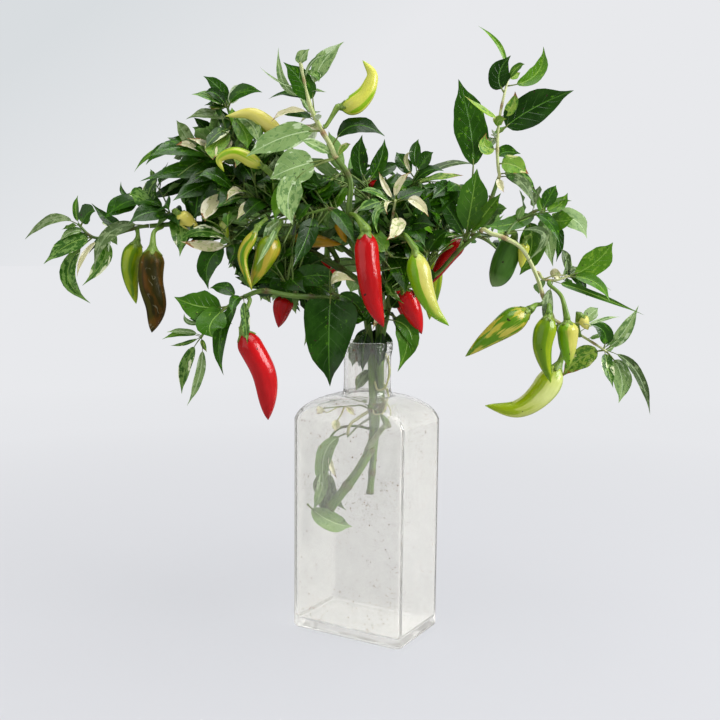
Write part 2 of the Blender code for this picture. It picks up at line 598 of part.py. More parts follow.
class Spray:
    """One mass of foliage: a stem from its bough, side twigs, and leaves fused on."""

    def __init__(self, name, design, limbs, collection, placed):
        parent, share, radius, route, self.fill, self.leaf_length, seed, self.leads = design
        self.name = name
        self.random = random.Random(seed)
        self.placed = placed
        self.pieces = bpy.data.collections.new(name + "_pieces")
        bpy.context.scene.collection.children.link(self.pieces)
        curve = rooted_route(limbs[parent], share, [place(point) for point in route], 1)
        self.twig = Limb(curve, radius * MM, radius * 0.7 * MM)
        self.twigs = [self.twig]
        self.base = tube(name, self.twig.route, self.twig.radii, "leaf", collection, resolution=0)
        placed.add(name, object_tree(self.base))
        self.count = 0

    def add_leaf(self, root, tip, width, turn, stations):
        """Fuse on one leaf where it is free, and say whether it was."""
        probe = leaf_body(root, tip, width, turn, stations, CLEARANCE * MM)
        whole, blade = skin_tree(probe), skin_tree(probe, root)
        probe.free()
        if not self.placed.free(self.name, whole, blade):
            return False
        body = leaf_body(root, tip, width, turn, stations)
        self.placed.add(self.name, skin_tree(body), skin_tree(body, root))
        mesh = bpy.data.meshes.new("leaf")
        body.to_mesh(mesh)
        body.free()
        self.pieces.objects.link(bpy.data.objects.new("leaf", mesh))
        self.count += 1
        return True

    def lead(self):
        """The leaves that lead the outline."""
        for share, tip, width, turn in self.leads:
            root = self.twig.at(min(share, LAST_ROOT))[0]
            stations = 3 if width > BROAD_LEAF else 2
            self.add_leaf(root, place(tip), width * MM, math.radians(turn), stations)

    def side_twigs(self):
        """Two short side twigs that leave the stem on opposite sides."""
        if self.fill < 6:
            return
        for number in range(2):
            root, along, radius = self.twig.at(0.35 + 0.35 * number)
            heading = self.random.uniform(0, math.tau)
            direction = self.aside(along, heading + math.pi * number) * 0.8 + along * 0.6 + UP * 0.15
            length = self.leaf_length * self.random.uniform(0.5, 0.75) * MM
            tip = root + direction.normalized() * length
            middle = root.lerp(tip, 0.5) + UP * 1.5 * MM
            side = Limb(smooth([root, middle, tip], 2), radius * 0.8, radius * 0.6)
            item = tube(self.name + "_twig", side.route, side.radii, "leaf", self.pieces, resolution=0)
            tree = object_tree(item)
            if any(tree.overlap(other) for owner, other, _ in self.placed.trees if owner != self.name):
                bpy.data.objects.remove(item)
                continue
            self.placed.add(self.name, tree)
            self.twigs.append(side)

    @staticmethod
    def aside(along, heading):
        """The direction square to the twig at a heading round it."""
        level = along.cross(UP)
        if level.length < 0.1:
            level = Vector((1.0, 0.0, 0.0)) - Vector((1.0, 0.0, 0.0)).project(along)
        level.normalize()
        return level * math.cos(heading) + along.cross(level) * math.sin(heading)

    def fill_in(self):
        """Leaves round the twigs by the golden angle, each drooping a little."""
        wanted = self.count + self.fill
        number = 0
        while self.count < wanted and number < self.fill * TRIES:
            twig = self.twigs[number % len(self.twigs)]
            share = LAST_ROOT if number % 5 == 4 else self.random.uniform(0.2, 0.95)
            root, along, _ = twig.at(share)
            outward = self.aside(along, number * GOLDEN_ANGLE + self.random.uniform(-0.4, 0.4))
            direction = outward + along * self.random.uniform(0.3, 1.0) - UP * self.random.uniform(0.0, 0.45)
            length = self.leaf_length * self.random.uniform(0.75, 1.15) * MM
            tip = root + direction.normalized() * length
            turn = math.radians(self.random.uniform(10, 60))
            self.add_leaf(root, tip, length * self.random.uniform(0.32, 0.42), turn, 2)
            number += 1

    def finish(self):
        join(self.base, self.pieces)
        bpy.data.collections.remove(self.pieces)


def main():
    clear_scene()
    collection = bpy.data.collections.new("chilli_stems_in_bottle")
    bpy.context.scene.collection.children.link(collection)
    placed = Placed()
    placed.add("bottle", object_tree(build_bottle(collection)))
    limbs = build_limbs(collection, placed)
    sprays = [Spray(name, design, limbs, collection, placed) for name, design in SPRAYS.items()]
    for spray in sprays:
        limbs[spray.name] = spray.twig
    for name, design in PEPPERS.items():
        placed.add(name, object_tree(build_pepper(name, design, limbs, collection)))
    for spray in sprays:
        spray.lead()
    for spray in sprays:
        spray.side_twigs()
    for spray in sprays:
        spray.fill_in()
    for spray in sprays:
        spray.finish()


main()
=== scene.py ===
"""Cut chilli pepper stems standing in a clear glass bottle, dressed for a picture.

Metres, +Z up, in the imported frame: the origin is the middle of the bottle's flat underside and
its wide sides face along Y.  The stems are laid out in the bouquet's own directions, in
millimetres: across (to the right as it is shown), back (away from the viewer) and up.
TURN carries those directions onto the bottle's axes.

Every shape here is a grid of points worked out as whole arrays: rings carried along a route
(stems, twigs, stalks, peppers), a rounded rectangle that turns into a circle (the bottle), and
leaf blades, which are two sheets that share their rim.
"""

import math
from functools import partial

import bpy
import numpy as np
from mathutils import Matrix


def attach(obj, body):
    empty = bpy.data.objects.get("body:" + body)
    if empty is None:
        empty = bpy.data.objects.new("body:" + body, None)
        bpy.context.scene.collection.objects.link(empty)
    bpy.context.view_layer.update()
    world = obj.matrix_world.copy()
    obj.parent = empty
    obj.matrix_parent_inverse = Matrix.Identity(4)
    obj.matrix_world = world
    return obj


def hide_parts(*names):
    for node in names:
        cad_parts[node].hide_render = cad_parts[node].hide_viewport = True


bl_info = {
    "name": "Chilli stems in a glass bottle",
    "version": (1, 0, 0),
    "blender": (4, 5, 0),
    "location": "View3D > Sidebar > Chilli stems",
    "description": "Cut chilli pepper stems with leaves and fruit, in a clear glass bottle",
    "category": "Add Mesh",
}

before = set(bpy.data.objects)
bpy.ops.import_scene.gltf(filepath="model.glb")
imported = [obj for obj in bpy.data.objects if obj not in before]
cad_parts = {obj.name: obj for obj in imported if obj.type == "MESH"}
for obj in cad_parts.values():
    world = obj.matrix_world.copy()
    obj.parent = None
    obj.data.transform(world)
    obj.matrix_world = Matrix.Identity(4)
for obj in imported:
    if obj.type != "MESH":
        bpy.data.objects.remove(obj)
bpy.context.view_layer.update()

MM = 0.001
TURN = math.radians(30.0)
GOLDEN_ANGLE = math.radians(137.5)
ACROSS = np.array([math.cos(TURN), math.sin(TURN), 0.0])
BACK = np.array([-math.sin(TURN), math.cos(TURN), 0.0])
UP = np.array([0.0, 0.0, 1.0])
VIEWER = -BACK

# ---------------------------------------------------------------- the camera, bouquet mm
CAMERA_SPOT = (0.0, -699.0, 275.6)
CAMERA_PITCH = math.radians(6.99)
CAMERA_YAW = math.radians(0.42)
CAMERA_ROLL = math.radians(0.58)
CAMERA_LENS = 51.19

# ---------------------------------------------------------------- bottle, mm
BOTTLE_WIDTH = 86.0
BOTTLE_DEPTH = 57.0
BOTTLE_HEIGHT = 203.0
BOTTLE_CORNER = 4.0
BOTTLE_WALL = 2.6
BOTTLE_FLOOR = 6.0
FOOT_ROUNDING = 3.0
SHOULDER_START = 149.5
SHOULDER_TOP = 166.0
NECK_ROOT_RADIUS = 18.4
NECK_RADIUS = 16.2
NECK_START = 172.0
COLLAR_RADIUS = 17.3
COLLAR_HEIGHT = 6.5
LIP_ROUNDING = 1.2
# The inner shoulder lies a little lower than the outer one, and both start at a lean, in radians.
INNER_SHOULDER_TOP = SHOULDER_TOP - 2.2
SHOULDER_LEAN = 0.3
# Rings up the walls, and how far in from a corner a flat side has its first point.
WALL_HEIGHTS = (50.0, 100.0)
FLAT_MARGIN = 0.8
CORNER_POINTS = 10
SHOULDER_STEPS = 14
# The room that leaves leave to the bottle: round its neck up to a height, and over its shoulders.
NECK_ROOM = 21.0
NECK_ROOM_TOP = 210.0
SHOULDER_ROOM = 176.0

# ---------------------------------------------------------------- stems and boughs, mm
# name: parent, share of its length, foot radius, tip radius, paleness, route
LIMBS = {
    "stem_main": (None, 0.0, 3.3, 2.3, 0.25,
                  ((-25, 1, 85), (-18, 1, 94), (-3, 0, 116), (5, 0, 136), (4.1, -1.2, 165),
                   (1.5, -1.5, 203), (-4, -4, 240))),
    "stem_second": (None, 0.0, 2.4, 2.2, 0.1,
                    ((3, 8, 94), (6, 8, 130), (8, 7, 165), (7.6, 6.4, 203), (10, 6, 240))),
    "stem_third": (None, 0.0, 2.5, 2.0, 0.45,
                   ((15, -4, 144), (9.6, -3.6, 165), (9.4, -4.2, 203), (16, -6, 236))),
    "bough_left": ("stem_main", 1.0, 2.4, 1.5, 0.2,
                   ((-20, -4, 253), (-48, -2, 268), (-90, -2, 279), (-120, -3, 282), (-147, -8, 280))),
    "bough_upper_left": ("bough_left", 0.17, 1.9, 1.4, 0.2,
                         ((-30, 4, 272), (-42, 5, 286), (-62, 3, 302), (-80, 0, 315))),
    "bough_front_left": ("stem_main", 0.93, 2.0, 1.5, 0.2,
                         ((-14, -20, 232), (-28, -28, 234), (-51, -36, 236), (-68, -40, 239),
                          (-80, -40, 235))),
    "bough_top": ("stem_main", 0.975, 2.0, 1.8, 0.45,
                  ((-2, -18, 246), (-10, -24, 270), (-13, -26, 290), (-12, -26, 307), (-15, -26, 316),
                   (-21, -26, 324))),
    "bough_centre": ("stem_second", 1.0, 2.1, 1.5, 0.1,
                     ((11, 6, 256), (7, 4, 275), (2, 2, 292))),
    "bough_right": ("stem_third", 1.0, 1.7, 1.2, 0.15,
                    ((22, -5, 240), (34, -2, 243), (47, 0, 250), (60, -7, 265), (74, -14, 278))),
    "bough_drop": ("bough_right", 1.0, 1.4, 1.3, 0.75,
                   ((81, -14, 277), (88, -14, 275), (100, -13, 269), (107, -12, 260), (114, -10, 246),
                    (118, -10, 234), (123, -10, 225))),
    "bough_upright": ("bough_right", 0.93, 1.5, 1.3, 0.5,
                      ((73, -8, 284), (80, -6, 296), (86, -5, 313))),
    "bough_back_left": ("stem_second", 0.96, 2.0, 1.5, 0.15,
                        ((6, 22, 246), (-8, 36, 258), (-28, 52, 272), (-46, 68, 280))),
    "bough_back_right": ("stem_second", 0.9, 2.0, 1.5, 0.15,
                         ((18, 20, 238), (30, 34, 254), (46, 50, 268), (62, 62, 274))),
}
# How far a limb runs straight from its seat, and the gap between the two.
STEP_OFF = 2.5
SEAT_GAP = 0.35
# Joints: how far apart, how wide their swelling is; and how far apart a stem's rings lie.
JOINT_SPACING = 32.0
JOINT_WIDTH = 2.4
RING_STEP = 1.6

# ---------------------------------------------------------------- sprays of leaves, mm
# name: parent, share, twig radius, twig route, paleness, leaves grown by rule, their length,
# their kinds, and the leaves that lead its outline:
# (share of the twig, tip, width, kind, turn to the viewer, bend of its middle, and, where they
# are not the usual ones, the stalk's share of the leaf and how far out the blade is widest).
# Kinds: g dark glossy, m mid green, v variegated, c cream, p pale, l lime, d dull grey green.
SPRAYS = {
    "spray_far_left": ("bough_left", 1.0, 1.2, ((-158, -9, 278), (-177, -11, 272), (-186, -12, 273),
                                                (-194, -12, 281)), 0.3, 4, 15, "gvvc", (
        (1.0, (-230, -12, 270), 8, "d", 50, (0, 0, 9)),
        (1.0, (-194, -10, 300), 4.5, "m", 80, (-2, 0, 0)),
        (0.95, (-180, -20, 289), 13, "g", 66, (0, 0, 4)),
        (0.72, (-216, -18, 254), 13, "v", 66, (1, 0, 5)),
        (0.74, (-186, -14, 228), 10, "v", 72, (-17, 0, -2)),
        (0.62, (-192, -24, 246), 4, "c", 62, (-3, 0, 2)),
        (0.62, (-190, -20, 240), 10, "v", 75, (8, 0, 2)),
        (0.0, (-180, -26, 250), 10, "d", 60, (-7, 0, 10)),
        (0.3, (-187, -4, 295), 8, "g", 50, (2, 0, -4)),
        (0.42, (-186, -16, 261), 4.5, "g", 60, (-3, 0, 2)),
        (0.85, (-207, -14, 268), 6, "p", 60, (0, 0, 4)))),
    "spray_left": ("bough_left", 0.86, 1.1, ((-140, -4, 288), (-147, -4, 292), (-154, -4, 297)), 0.2,
                   40, 28, "gggv", (
        (0.3, (-176, -16, 284), 14, "g", 42, (0, 0, 12)),
        (0.2, (-123, -26, 262), 11, "v", 60, (3, 0, 3)),
        (1.0, (-162, 2, 300), 10, "g", 50, (0, 0, 4)),
        (0.4, (-116, -24, 274), 10, "g", 50, (3, 0, 4)),
        (1.0, (-168, 2, 310), 3.5, "g", 60, (-4, 0, -3)),
        (0.8, (-141, -6, 313), 11, "v", 55, (-3, 0, 0)),
        (0.6, (-158, -18, 300), 12, "v", 62, (-2, 0, 4)),
        (0.95, (-175, -18, 284), 13, "g", 75, (-1, 0, 4)),
        (0.3, (-157, -26, 281), 13, "g", 70, (0, 0, 5)),
        (0.35, (-124, -24, 279), 13, "g", 72, (0, 0, 5)),
        (0.3, (-123, -30, 260), 13, "v", 74, (3, 0, 4)),
        (0.5, (-131, -22, 290), 12, "g", 66, (0, 0, 5)))),
    "spray_left_front": ("bough_left", 0.64, 1.1, ((-92, -12, 275), (-90, -25, 268)), 0.2,
                         40, 28, "gggmd", (
        (1.0, (-124, -29, 271), 13, "v", 32, (0, 0, 8)),
        (1.0, (-122, -31, 270), 7, "c", 85, (0, 0, -2)),
        (1.0, (-104, -32, 239), 15, "g", 75, (-7, 0, 4)),
        (0.9, (-91, -34, 255), 9, "g", 60, (3, 0, 2)),
        (0.6, (-72, -34, 268), 9, "g", 60, (0, 0, 4)))),
    "spray_upper_left": ("bough_upper_left", 1.0, 1.2, ((-84, 2, 326), (-89, 3, 338), (-96, 4, 360)), 0.3,
                         16, 24, "ggml", (
        (1.0, (-112, 4, 380), 9, "g", 60, (3, 0, 3)),
        (0.97, (-119, -3, 367), 8, "v", 50, (2, 0, 3)),
        (1.0, (-71, -8, 368), 11, "g", 62, (-3, 0, 6)),
        (0.8, (-124, 2, 351), 10, "d", 50, (0, 0, 4)),
        (0.7, (-108, -16, 330), 9, "v", 60, (-1, 0, 3)),
        (0.9, (-80, -20, 330), 12, "m", 70, (4, 0, 0)),
        (0.9, (-71, -26, 331), 9, "p", 74, (5, 0, 4)),
        (0.75, (-102, -22, 323), 13, "l", 78, (-4, 0, -2)),
        (0.6, (-97, -24, 318), 9, "c", 75, (-4, 0, 0)),
        (1.0, (-110, -2, 368), 8, "g", 60, (0, 0, 4)),
        (0.5, (-88, -20, 318), 10, "l", 70, (3, 0, 2)))),
    "spray_left_upper": ("bough_upper_left", 0.8, 1.1, ((-84, 12, 316), (-102, 10, 322), (-111, 6, 326),
                                                        (-121, 4, 331)), 0.25, 60, 30, "gggdg", (
        (1.0, (-159, 2, 316), 4.5, "m", 60, (-5, 0, 8)),
        (0.9, (-149, -8, 320), 9, "g", 62, (-3, 0, 8)),
        (0.7, (-144, -20, 325), 14, "g", 62, (0, 0, 9)),
        (0.3, (-152, -14, 309), 14, "g", 66, (0, 0, 6)),
        (0.5, (-143, 8, 312), 11, "p", 60, (0, 0, 5)),
        (0.6, (-134, -10, 338), 11, "g", 70, (-3, 0, 3)),
        (0.9, (-127, -14, 349), 9, "d", 65, (-2, 0, 2)),
        (0.9, (-134, -6, 337), 5, "c", 60, (2, 0, 4)),
        (0.8, (-128, -12, 333), 5, "c", 60, (-2, 0, 5)),
        (0.7, (-120, -16, 337), 5, "c", 70, (3, 0, 3)),
        (0.6, (-113, -18, 332), 6, "v", 60, (-3, 0, 3)),
        (0.4, (-156, 12, 296), 12, "g", 60, (0, 0, 5)),
        (0.35, (-128, -26, 296), 14, "g", 80, (-4, 0, 2)),
        (0.5, (-112, -26, 292), 15, "g", 82, (3, 0, 0)),
        (0.5, (-121, -22, 306), 13, "g", 66, (0, 0, 4)))),
    "spray_mid_left": ("bough_upper_left", 0.48, 1.2,
                       ((-60, -8, 294), (-78, -15, 299), (-100, -18, 304)), 0.2,
                       190, 32, "gggggmdg", (
        (0.95, (-116, -20, 285), 10, "g", 60, (3, 0, 4)),
        (0.8, (-110, -30, 312), 12, "g", 50, (0, 0, 5)),
        (0.9, (-106, -30, 283), 10, "c", 70, (-4, 0, 0), 0.1),
        (0.7, (-92, -34, 296), 7, "c", 60, (0, 0, 5)),
        (0.6, (-85, -36, 284), 6, "c", 74, (0, 0, 2)),
        (0.85, (-99, -32, 291), 14, "g", 70, (4, 0, 3)),
        (0.5, (-84, -36, 282), 12, "g", 60, (2, 0, 5)))),
    "spray_top": ("bough_top", 1.0, 1.7, ((-25, -26, 332), (-31, -26, 342), (-38, -26, 356), (-42, -24, 371),
                                          (-45, -24, 385)), 0.9,
                  8, 18, "ppgc", (
        (0.55, (-56, -24, 385), 14, "g", 80, (3, 0, 2)),
        (0.66, (-60, -14, 396), 5, "p", 80, (-7, 0, -8)),
        (1.0, (-39, -26, 393), 8, "p", 70, (-2, 0, 0)),
        (0.42, (-17, -24, 398), 11, "p", 78, (-9, 0, 3), 0.42, 0.7),
        (0.8, (-27, -30, 389), 2.5, "p", 70, (-3, 0, 3)),
        (0.6, (-67, -12, 363), 8, "g", 40, (0, 0, 5)),
        (0.5, (-64, -24, 347), 7, "c", 40, (-2, 0, 3)),
        (0.3, (-79, -36, 324), 17, "p", 74, (0, 0, 5), 0.12, 0.75),
        (0.0, (-63, -42, 310), 22, "p", 84, (-1, 0, 2), 0.33, 0.6),
        (0.0, (-48, -46, 281), 16, "p", 84, (-15, -4, 5), 0.4, 0.6),
        (0.0, (-60, -40, 282), 11, "m", 80, (-10, -2, 6), 0.4),
        (0.12, (10, -30, 338), 12, "g", 60, (-2, 0, 12)),
        (0.02, (-44, -32, 335), 8, "p", 60, (-2, 0, 2)),
        (0.0, (-12, -32, 333), 5, "l", 60, (0, 0, 2)),
        (0.75, (-72, -20, 383), 1.6, "p", 60, (0, 0, -4)),
        (0.4, (-58, -18, 352), 7, "g", 60, (-2, 0, 4)),
        (0.9, (-33, -28, 372), 5, "v", 70, (3, 0, 2)))),
    "spray_front_mid": ("bough_top", 0.6, 1.2, ((-24, -27, 292), (-42, -26, 288), (-60, -30, 284)), 0.3,
                        190, 32, "ggggggdm", (
        (1.0, (-88, -20, 262), 11, "g", 60, (0, 0, 5)),
        (1.0, (-71, -52, 255), 4, "p", 76, (3, -4, 2), 0.2),
        (0.5, (-48, -50, 254), 12, "g", 64, (3, 0, 3)),
        (0.8, (-62, -46, 262), 6, "p", 75, (-7, 0, 4)),
        (0.3, (-8, -44, 268), 9, "g", 65, (0, 0, 5)))),
    "spray_top_centre": ("bough_centre", 1.0, 1.2, ((0, 1, 300), (-2, 0, 311)), 0.2,
                         130, 31, "gggggmg", (
        (1.0, (-5, 0, 342), 11, "g", 80, (-4, 0, 0)),
        (1.0, (10, 6, 340), 10, "g", 70, (3, 0, -2)),
        (0.9, (21, 10, 324), 10, "g", 60, (0, 0, 2)),
        (0.8, (-17, 4, 320), 8, "g", 60, (-3, 0, 2)),
        (0.5, (16, -14, 300), 13, "g", 65, (0, 0, 6)))),
    "spray_centre_right": ("bough_centre", 0.55, 1.2, ((17, 6, 284), (26, 6, 304), (33, 5, 319)), 0.2,
                           110, 30, "ggggmvdg", (
        (1.0, (33, 6, 340), 8, "g", 70, (-2, 0, 2)),
        (0.95, (43, 2, 331), 9, "g", 70, (0, 0, 3)),
        (0.7, (50, -4, 318), 10, "g", 45, (0, 0, 8)),
        (0.8, (64, 6, 316), 7, "l", 35, (0, 0, 2)),
        (0.9, (18, 4, 331), 10, "g", 60, (-2, 0, 2)),
        (0.85, (74, 20, 324), 7, "d", 40, (0, 0, 5)),
        (0.9, (29, -6, 331), 3, "c", 60, (-5, 0, 3)))),
    "spray_star": ("bough_centre", 0.35, 1.1, ((12, -8, 270), (15, -20, 284), (17, -30, 298)), 0.9,
                   50, 27, "gggd", (
        (1.0, (6, -32, 316), 3.5, "c", 80, (-1, 0, 0)),
        (1.0, (27, -32, 316), 4.5, "c", 80, (-3, 0, 2)),
        (1.0, (-8, -40, 290), 7, "v", 60, (0, 0, 3), 0.4),
        (0.95, (38, -42, 287), 7, "c", 62, (1, 0, 6), 0.35),
        (0.85, (11, -44, 272), 9, "c", 70, (5, -2, 0), 0.25, 0.5),
        (0.95, (6, -42, 276), 5, "v", 74, (-6, 0, 4)),
        (1.0, (12, -36, 288), 2.5, "c", 70, (-3, 0, 3)),
        (0.9, (-7, -36, 303), 5, "v", 60, (0, 0, 4)),
        (0.2, (24, -40, 238), 14, "g", 84, (4, -2, 2)),
        (0.1, (23, -46, 232), 5, "v", 80, (-5, 0, -3), 0.45),
        (0.4, (43, -40, 281), 13, "g", 66, (0, 0, 5)),
        (0.6, (36, -40, 268), 12, "g", 60, (3, 0, 5)))),
    "spray_right_mid": ("bough_right", 0.84, 1.2, ((67, -6, 279), (69, -6, 292), (68, -6, 309)), 0.25,
                        26, 26, "gggm", (
        (0.1, (70, -22, 319), 19, "m", 85, (0, -3, 0), 0.1, 0.85),
        (1.0, (58, -6, 378), 21, "g", 85, (5, 0, 0), 0.2, 0.75),
        (0.1, (46, -22, 300), 12, "g", 74, (0, 0, 2)),
        (0.1, (85, -30, 303), 9, "m", 70, (2, 0, 2)),
        (0.1, (42, -20, 272), 6, "v", 40, (0, 0, 3)),
        (0.15, (52, -10, 280), 8, "g", 50, (0, 0, 2)))),
    "spray_centre_low": ("bough_right", 0.4, 1.1, ((38, -12, 254), (38, -18, 264)), 0.2,
                         150, 31, "ggggggmd", (
        (0.9, (52, -22, 278), 11, "g", 60, (0, 0, 3)),
        (0.6, (30, -26, 234), 13, "g", 80, (3, 0, 2)))),
    "spray_upright": ("bough_upright", 1.0, 1.1,
                      ((86, -5, 320), (85, -5, 333), (86, -5, 354), (91, -5, 379)), 0.8,
                      5, 13, "lmlc", (
        (1.0, (70, -6, 412), 3.5, "m", 60, (5, 0, 4)),
        (0.85, (92, -8, 393), 14, "g", 86, (-6, 0, 0)),
        (0.92, (114, -2, 400), 10, "m", 72, (7, 0, -5)),
        (0.95, (101, -10, 387), 5, "m", 70, (0, 0, 3)),
        (0.45, (134, -8, 371), 21, "g", 82, (-3, 0, 2)),
        (0.6, (60, -26, 365), 5, "l", 60, (2, 0, -3)),
        (0.6, (95, -10, 370), 7, "l", 80, (3, 0, -1)),
        (0.15, (105, -14, 316), 13, "l", 70, (0, 0, 3)),
        (0.2, (101, -3, 330), 9, "g", 75, (-3, 0, 3)),
        (0.3, (77, -9, 343), 11, "l", 70, (-4, 0, -3)),
        (0.5, (90, -10, 352), 7, "l", 70, (-3, 0, 2)),
        (0.05, (112, -8, 303), 11, "v", 60, (0, 0, 5)),
        (0.02, (110, -12, 293), 9, "d", 55, (2, 0, 7)),
        (0.02, (89, -14, 304), 5, "c", 75, (-1, 0, 0)))),
    "spray_right_outer": ("bough_drop", 0.24, 1.1, ((98, -4, 284), (106, -1, 289), (115, 0, 293),
                                                    (124, 3, 287)), 0.5, 10, 20, "gmvpd", (
        (0.8, (77, -10, 282), 11, "m", 55, (0, 0, -3)),
        (0.8, (134, 2, 305), 9, "m", 60, (2, 0, -2)),
        (1.0, (137, -7, 288), 14, "m", 72, (0, 0, -2)),
        (1.0, (149, 6, 274), 14, "p", 66, (4, 0, 6)),
        (0.6, (127, -12, 271), 9, "g", 45, (2, 0, 5)),
        (0.95, (125, -2, 255), 10, "p", 70, (-2, 0, 3)),
        (0.55, (103, 2, 249), 18, "m", 80, (6, 0, -2), 0.1, 0.6),
        (0.1, (103, -18, 257), 6, "d", 55, (17, 0, 9)),
        (0.95, (128, 4, 258), 7, "g", 60, (4, 0, 2)),
        (0.9, (114, -4, 303), 6, "m", 70, (-2, 0, 0)))),
    "spray_right_low": ("bough_drop", 0.66, 1.1, ((118, -5, 247), (126, -5, 246), (135, -6, 249)), 0.7,
                        5, 17, "gmpd", (
        (1.0, (163, -10, 272), 16, "m", 80, (4, 0, -2), 0.1, 0.8),
        (1.0, (130, -4, 267), 6, "d", 60, (1, 0, 3)),
        (0.95, (160, -20, 233), 9, "m", 60, (3, 0, 5)),
        (0.9, (166, 0, 239), 3.5, "d", 40, (0, 0, 3)),
        (0.95, (149, 0, 235), 8, "g", 50, (2, 0, 3)),
        (0.5, (184, -18, 224), 5, "m", 72, (-4, 0, 3), 0.15, 0.3),
        (0.8, (125, -4, 246), 8, "c", 70, (-2, 0, 3)),
        (0.6, (123, -27, 208), 7, "d", 75, (-5, -4, 0)))),
    "spray_right_tip": ("bough_drop", 1.0, 1.1, ((127, -6, 219), (138, -2, 213), (150, -1, 206),
                                                 (163, -4, 198)), 0.7, 4, 15, "gpvm", (
        (1.0, (183, -6, 230), 9, "p", 75, (1, 0, -4)),
        (0.55, (174, 6, 221), 3.5, "p", 50, (0, 0, 3)),
        (0.95, (149, -12, 217), 11, "g", 72, (5, 0, 3)),
        (1.0, (134, 2, 179), 14, "l", 76, (-2, 0, 4)),
        (1.0, (170, -14, 164), 12.5, "p", 86, (7, 0, 1), 0.2, 0.6),
        (1.0, (165, -18, 175), 8, "v", 75, (-1, 0, 2)),
        (1.0, (190, -20, 157), 6.5, "d", 74, (7, 0, 8)))),
    "spray_low_left": ("bough_front_left", 1.0, 1.1,
                       ((-90, -41, 229), (-100, -42, 221), (-108, -42, 208)), 0.6,
                       5, 16, "gvpl", (
        (0.3, (-124, -46, 235), 19, "m", 76, (0, 0, -3), 0.12, 0.55),
        (0.3, (-98, -54, 210), 18, "m", 84, (-6, -2, -1), 0.1, 0.6),
        (1.0, (-117, -44, 164), 6, "p", 80, (4, 0, 0), 0.2),
        (1.0, (-122, -34, 170), 8, "v", 80, (-3, 0, 2), 0.2),
        (1.0, (-133, -42, 207), 4, "m", 60, (0, 0, 3)),
        (0.95, (-130, -44, 212), 4, "p", 60, (0, 0, 2)),
        (0.95, (-128, -40, 203), 3, "v", 60, (0, 0, -2)),
        (0.7, (-119, -38, 224), 3.5, "p", 60, (-4, 0, -3)),
        (0.0, (-92, -50, 185), 9, "g", 76, (-9, 0, 1), 0.1),
        (0.1, (-103, -34, 240), 9, "g", 50, (0, 0, 4)),
        (0.0, (-76, -56, 206), 6, "v", 75, (0, 0, 2)),
        (0.0, (-86, -52, 224), 7, "g", 70, (-2, 0, 3)))),
    "spray_front": ("bough_front_left", 0.3, 1.1, ((-25, -34, 238), (-22, -38, 240)), 0.3,
                    12, 22, "gggd", (
        (0.6, (-24, -46, 178), 33, "g", 88, (-1, -4, 0), 0.06, 0.27),
        (0.2, (-42, -28, 202), 8, "p", 84, (-3, 2, 2)),
        (0.9, (-8, -50, 246), 8, "c", 60, (-5, 0, 5)),
        (0.5, (-2, -36, 222), 10, "g", 70, (3, 0, 3)))),
    "spray_under": ("bough_front_left", 0.62, 1.1, ((-54, -30, 244), (-52, -22, 250)), 0.2,
                    170, 32, "gggggggd", (
        (0.9, (-78, -22, 242), 17, "g", 60, (0, 0, 5)),
        (0.6, (-18, -20, 228), 20, "g", 70, (4, 0, 4)),
        (0.7, (-50, -24, 230), 18, "g", 70, (-3, 0, 4)),
        (0.8, (-30, -14, 240), 18, "g", 65, (0, 0, 5)),
        (0.4, (-86, -16, 256), 16, "g", 60, (0, 0, 6)),
        (0.8, (-40, -40, 238), 15, "g", 74, (-3, 0, 3)),
        (0.5, (-20, -34, 246), 14, "g", 72, (2, 0, 4)),
        (0.9, (-28, -20, 254), 17, "g", 60, (0, 0, 4)))),
    "spray_neck": ("stem_third", 0.87, 1.1, ((14, -14, 226), (13, -18, 219)), 0.3,
                   26, 22, "ggg", (
        (1.0, (30, -22, 198), 11, "m", 70, (6, 0, 5)),
        (0.7, (20, -24, 185), 15, "m", 80, (10, 0, 6), 0.12, 0.6),
        (0.8, (3, -26, 213), 5, "c", 60, (0, 0, 4)),
        (0.5, (18, -10, 236), 10, "g", 70, (4, 0, 2)))),
    "spray_inside": ("stem_main", 0.4, 1.0, ((-8, 6, 143), (-20, 7, 140), (-27, 7, 128), (-23, 6, 112)), 0.4,
                     0, 20, "d", (
        (1.0, (-32, 6, 90), 9, "d", 80, (-4, 0, 0)),
        (0.97, (-13, 13, 80), 8, "d", 70, (-6, 0, -2)))),
    "spray_back_left": ("bough_back_left", 1.0, 1.2, ((-58, 76, 282), (-74, 84, 282), (-90, 88, 274)), 0.2,
                        70, 29, "ggggmvp", (
        (1.0, (-117, 92, 264), 14, "g", -40, (0, 2, 6)),
        (0.9, (-90, 117, 262), 15, "g", -60, (0, 4, 6)),
        (0.6, (-76, 112, 282), 13, "m", -50, (0, 3, 5)),
        (0.8, (-104, 70, 300), 12, "v", -40, (0, 0, 5)),
        (0.4, (-58, 100, 302), 13, "g", -50, (0, 2, 5)),
        (0.5, (-80, 84, 248), 14, "g", -75, (0, 3, 3)))),
    "spray_back_top": ("bough_back_left", 0.5, 1.2, ((-16, 40, 276), (-14, 44, 296), (-18, 50, 318)), 0.2,
                       70, 29, "ggggmvg", (
        (1.0, (-30, 60, 350), 12, "g", -60, (-2, 0, 2)),
        (1.0, (-2, 66, 338), 12, "m", -60, (2, 0, 4)),
        (0.8, (-50, 70, 330), 13, "g", -50, (0, 0, 5)),
        (0.6, (-18, 92, 290), 14, "g", -60, (0, 3, 6)),
        (0.7, (18, 56, 312), 12, "v", -50, (0, 0, 5)))),
    "spray_back_low": ("bough_back_left", 0.3, 1.2, ((2, 42, 254), (0, 56, 252), (-6, 74, 240)), 0.2,
                       60, 28, "ggggmvp", (
        (1.0, (-17, 107, 262), 14, "g", -60, (0, 3, 6)),
        (1.0, (-14, 98, 230), 15, "g", -75, (0, 4, 3)),
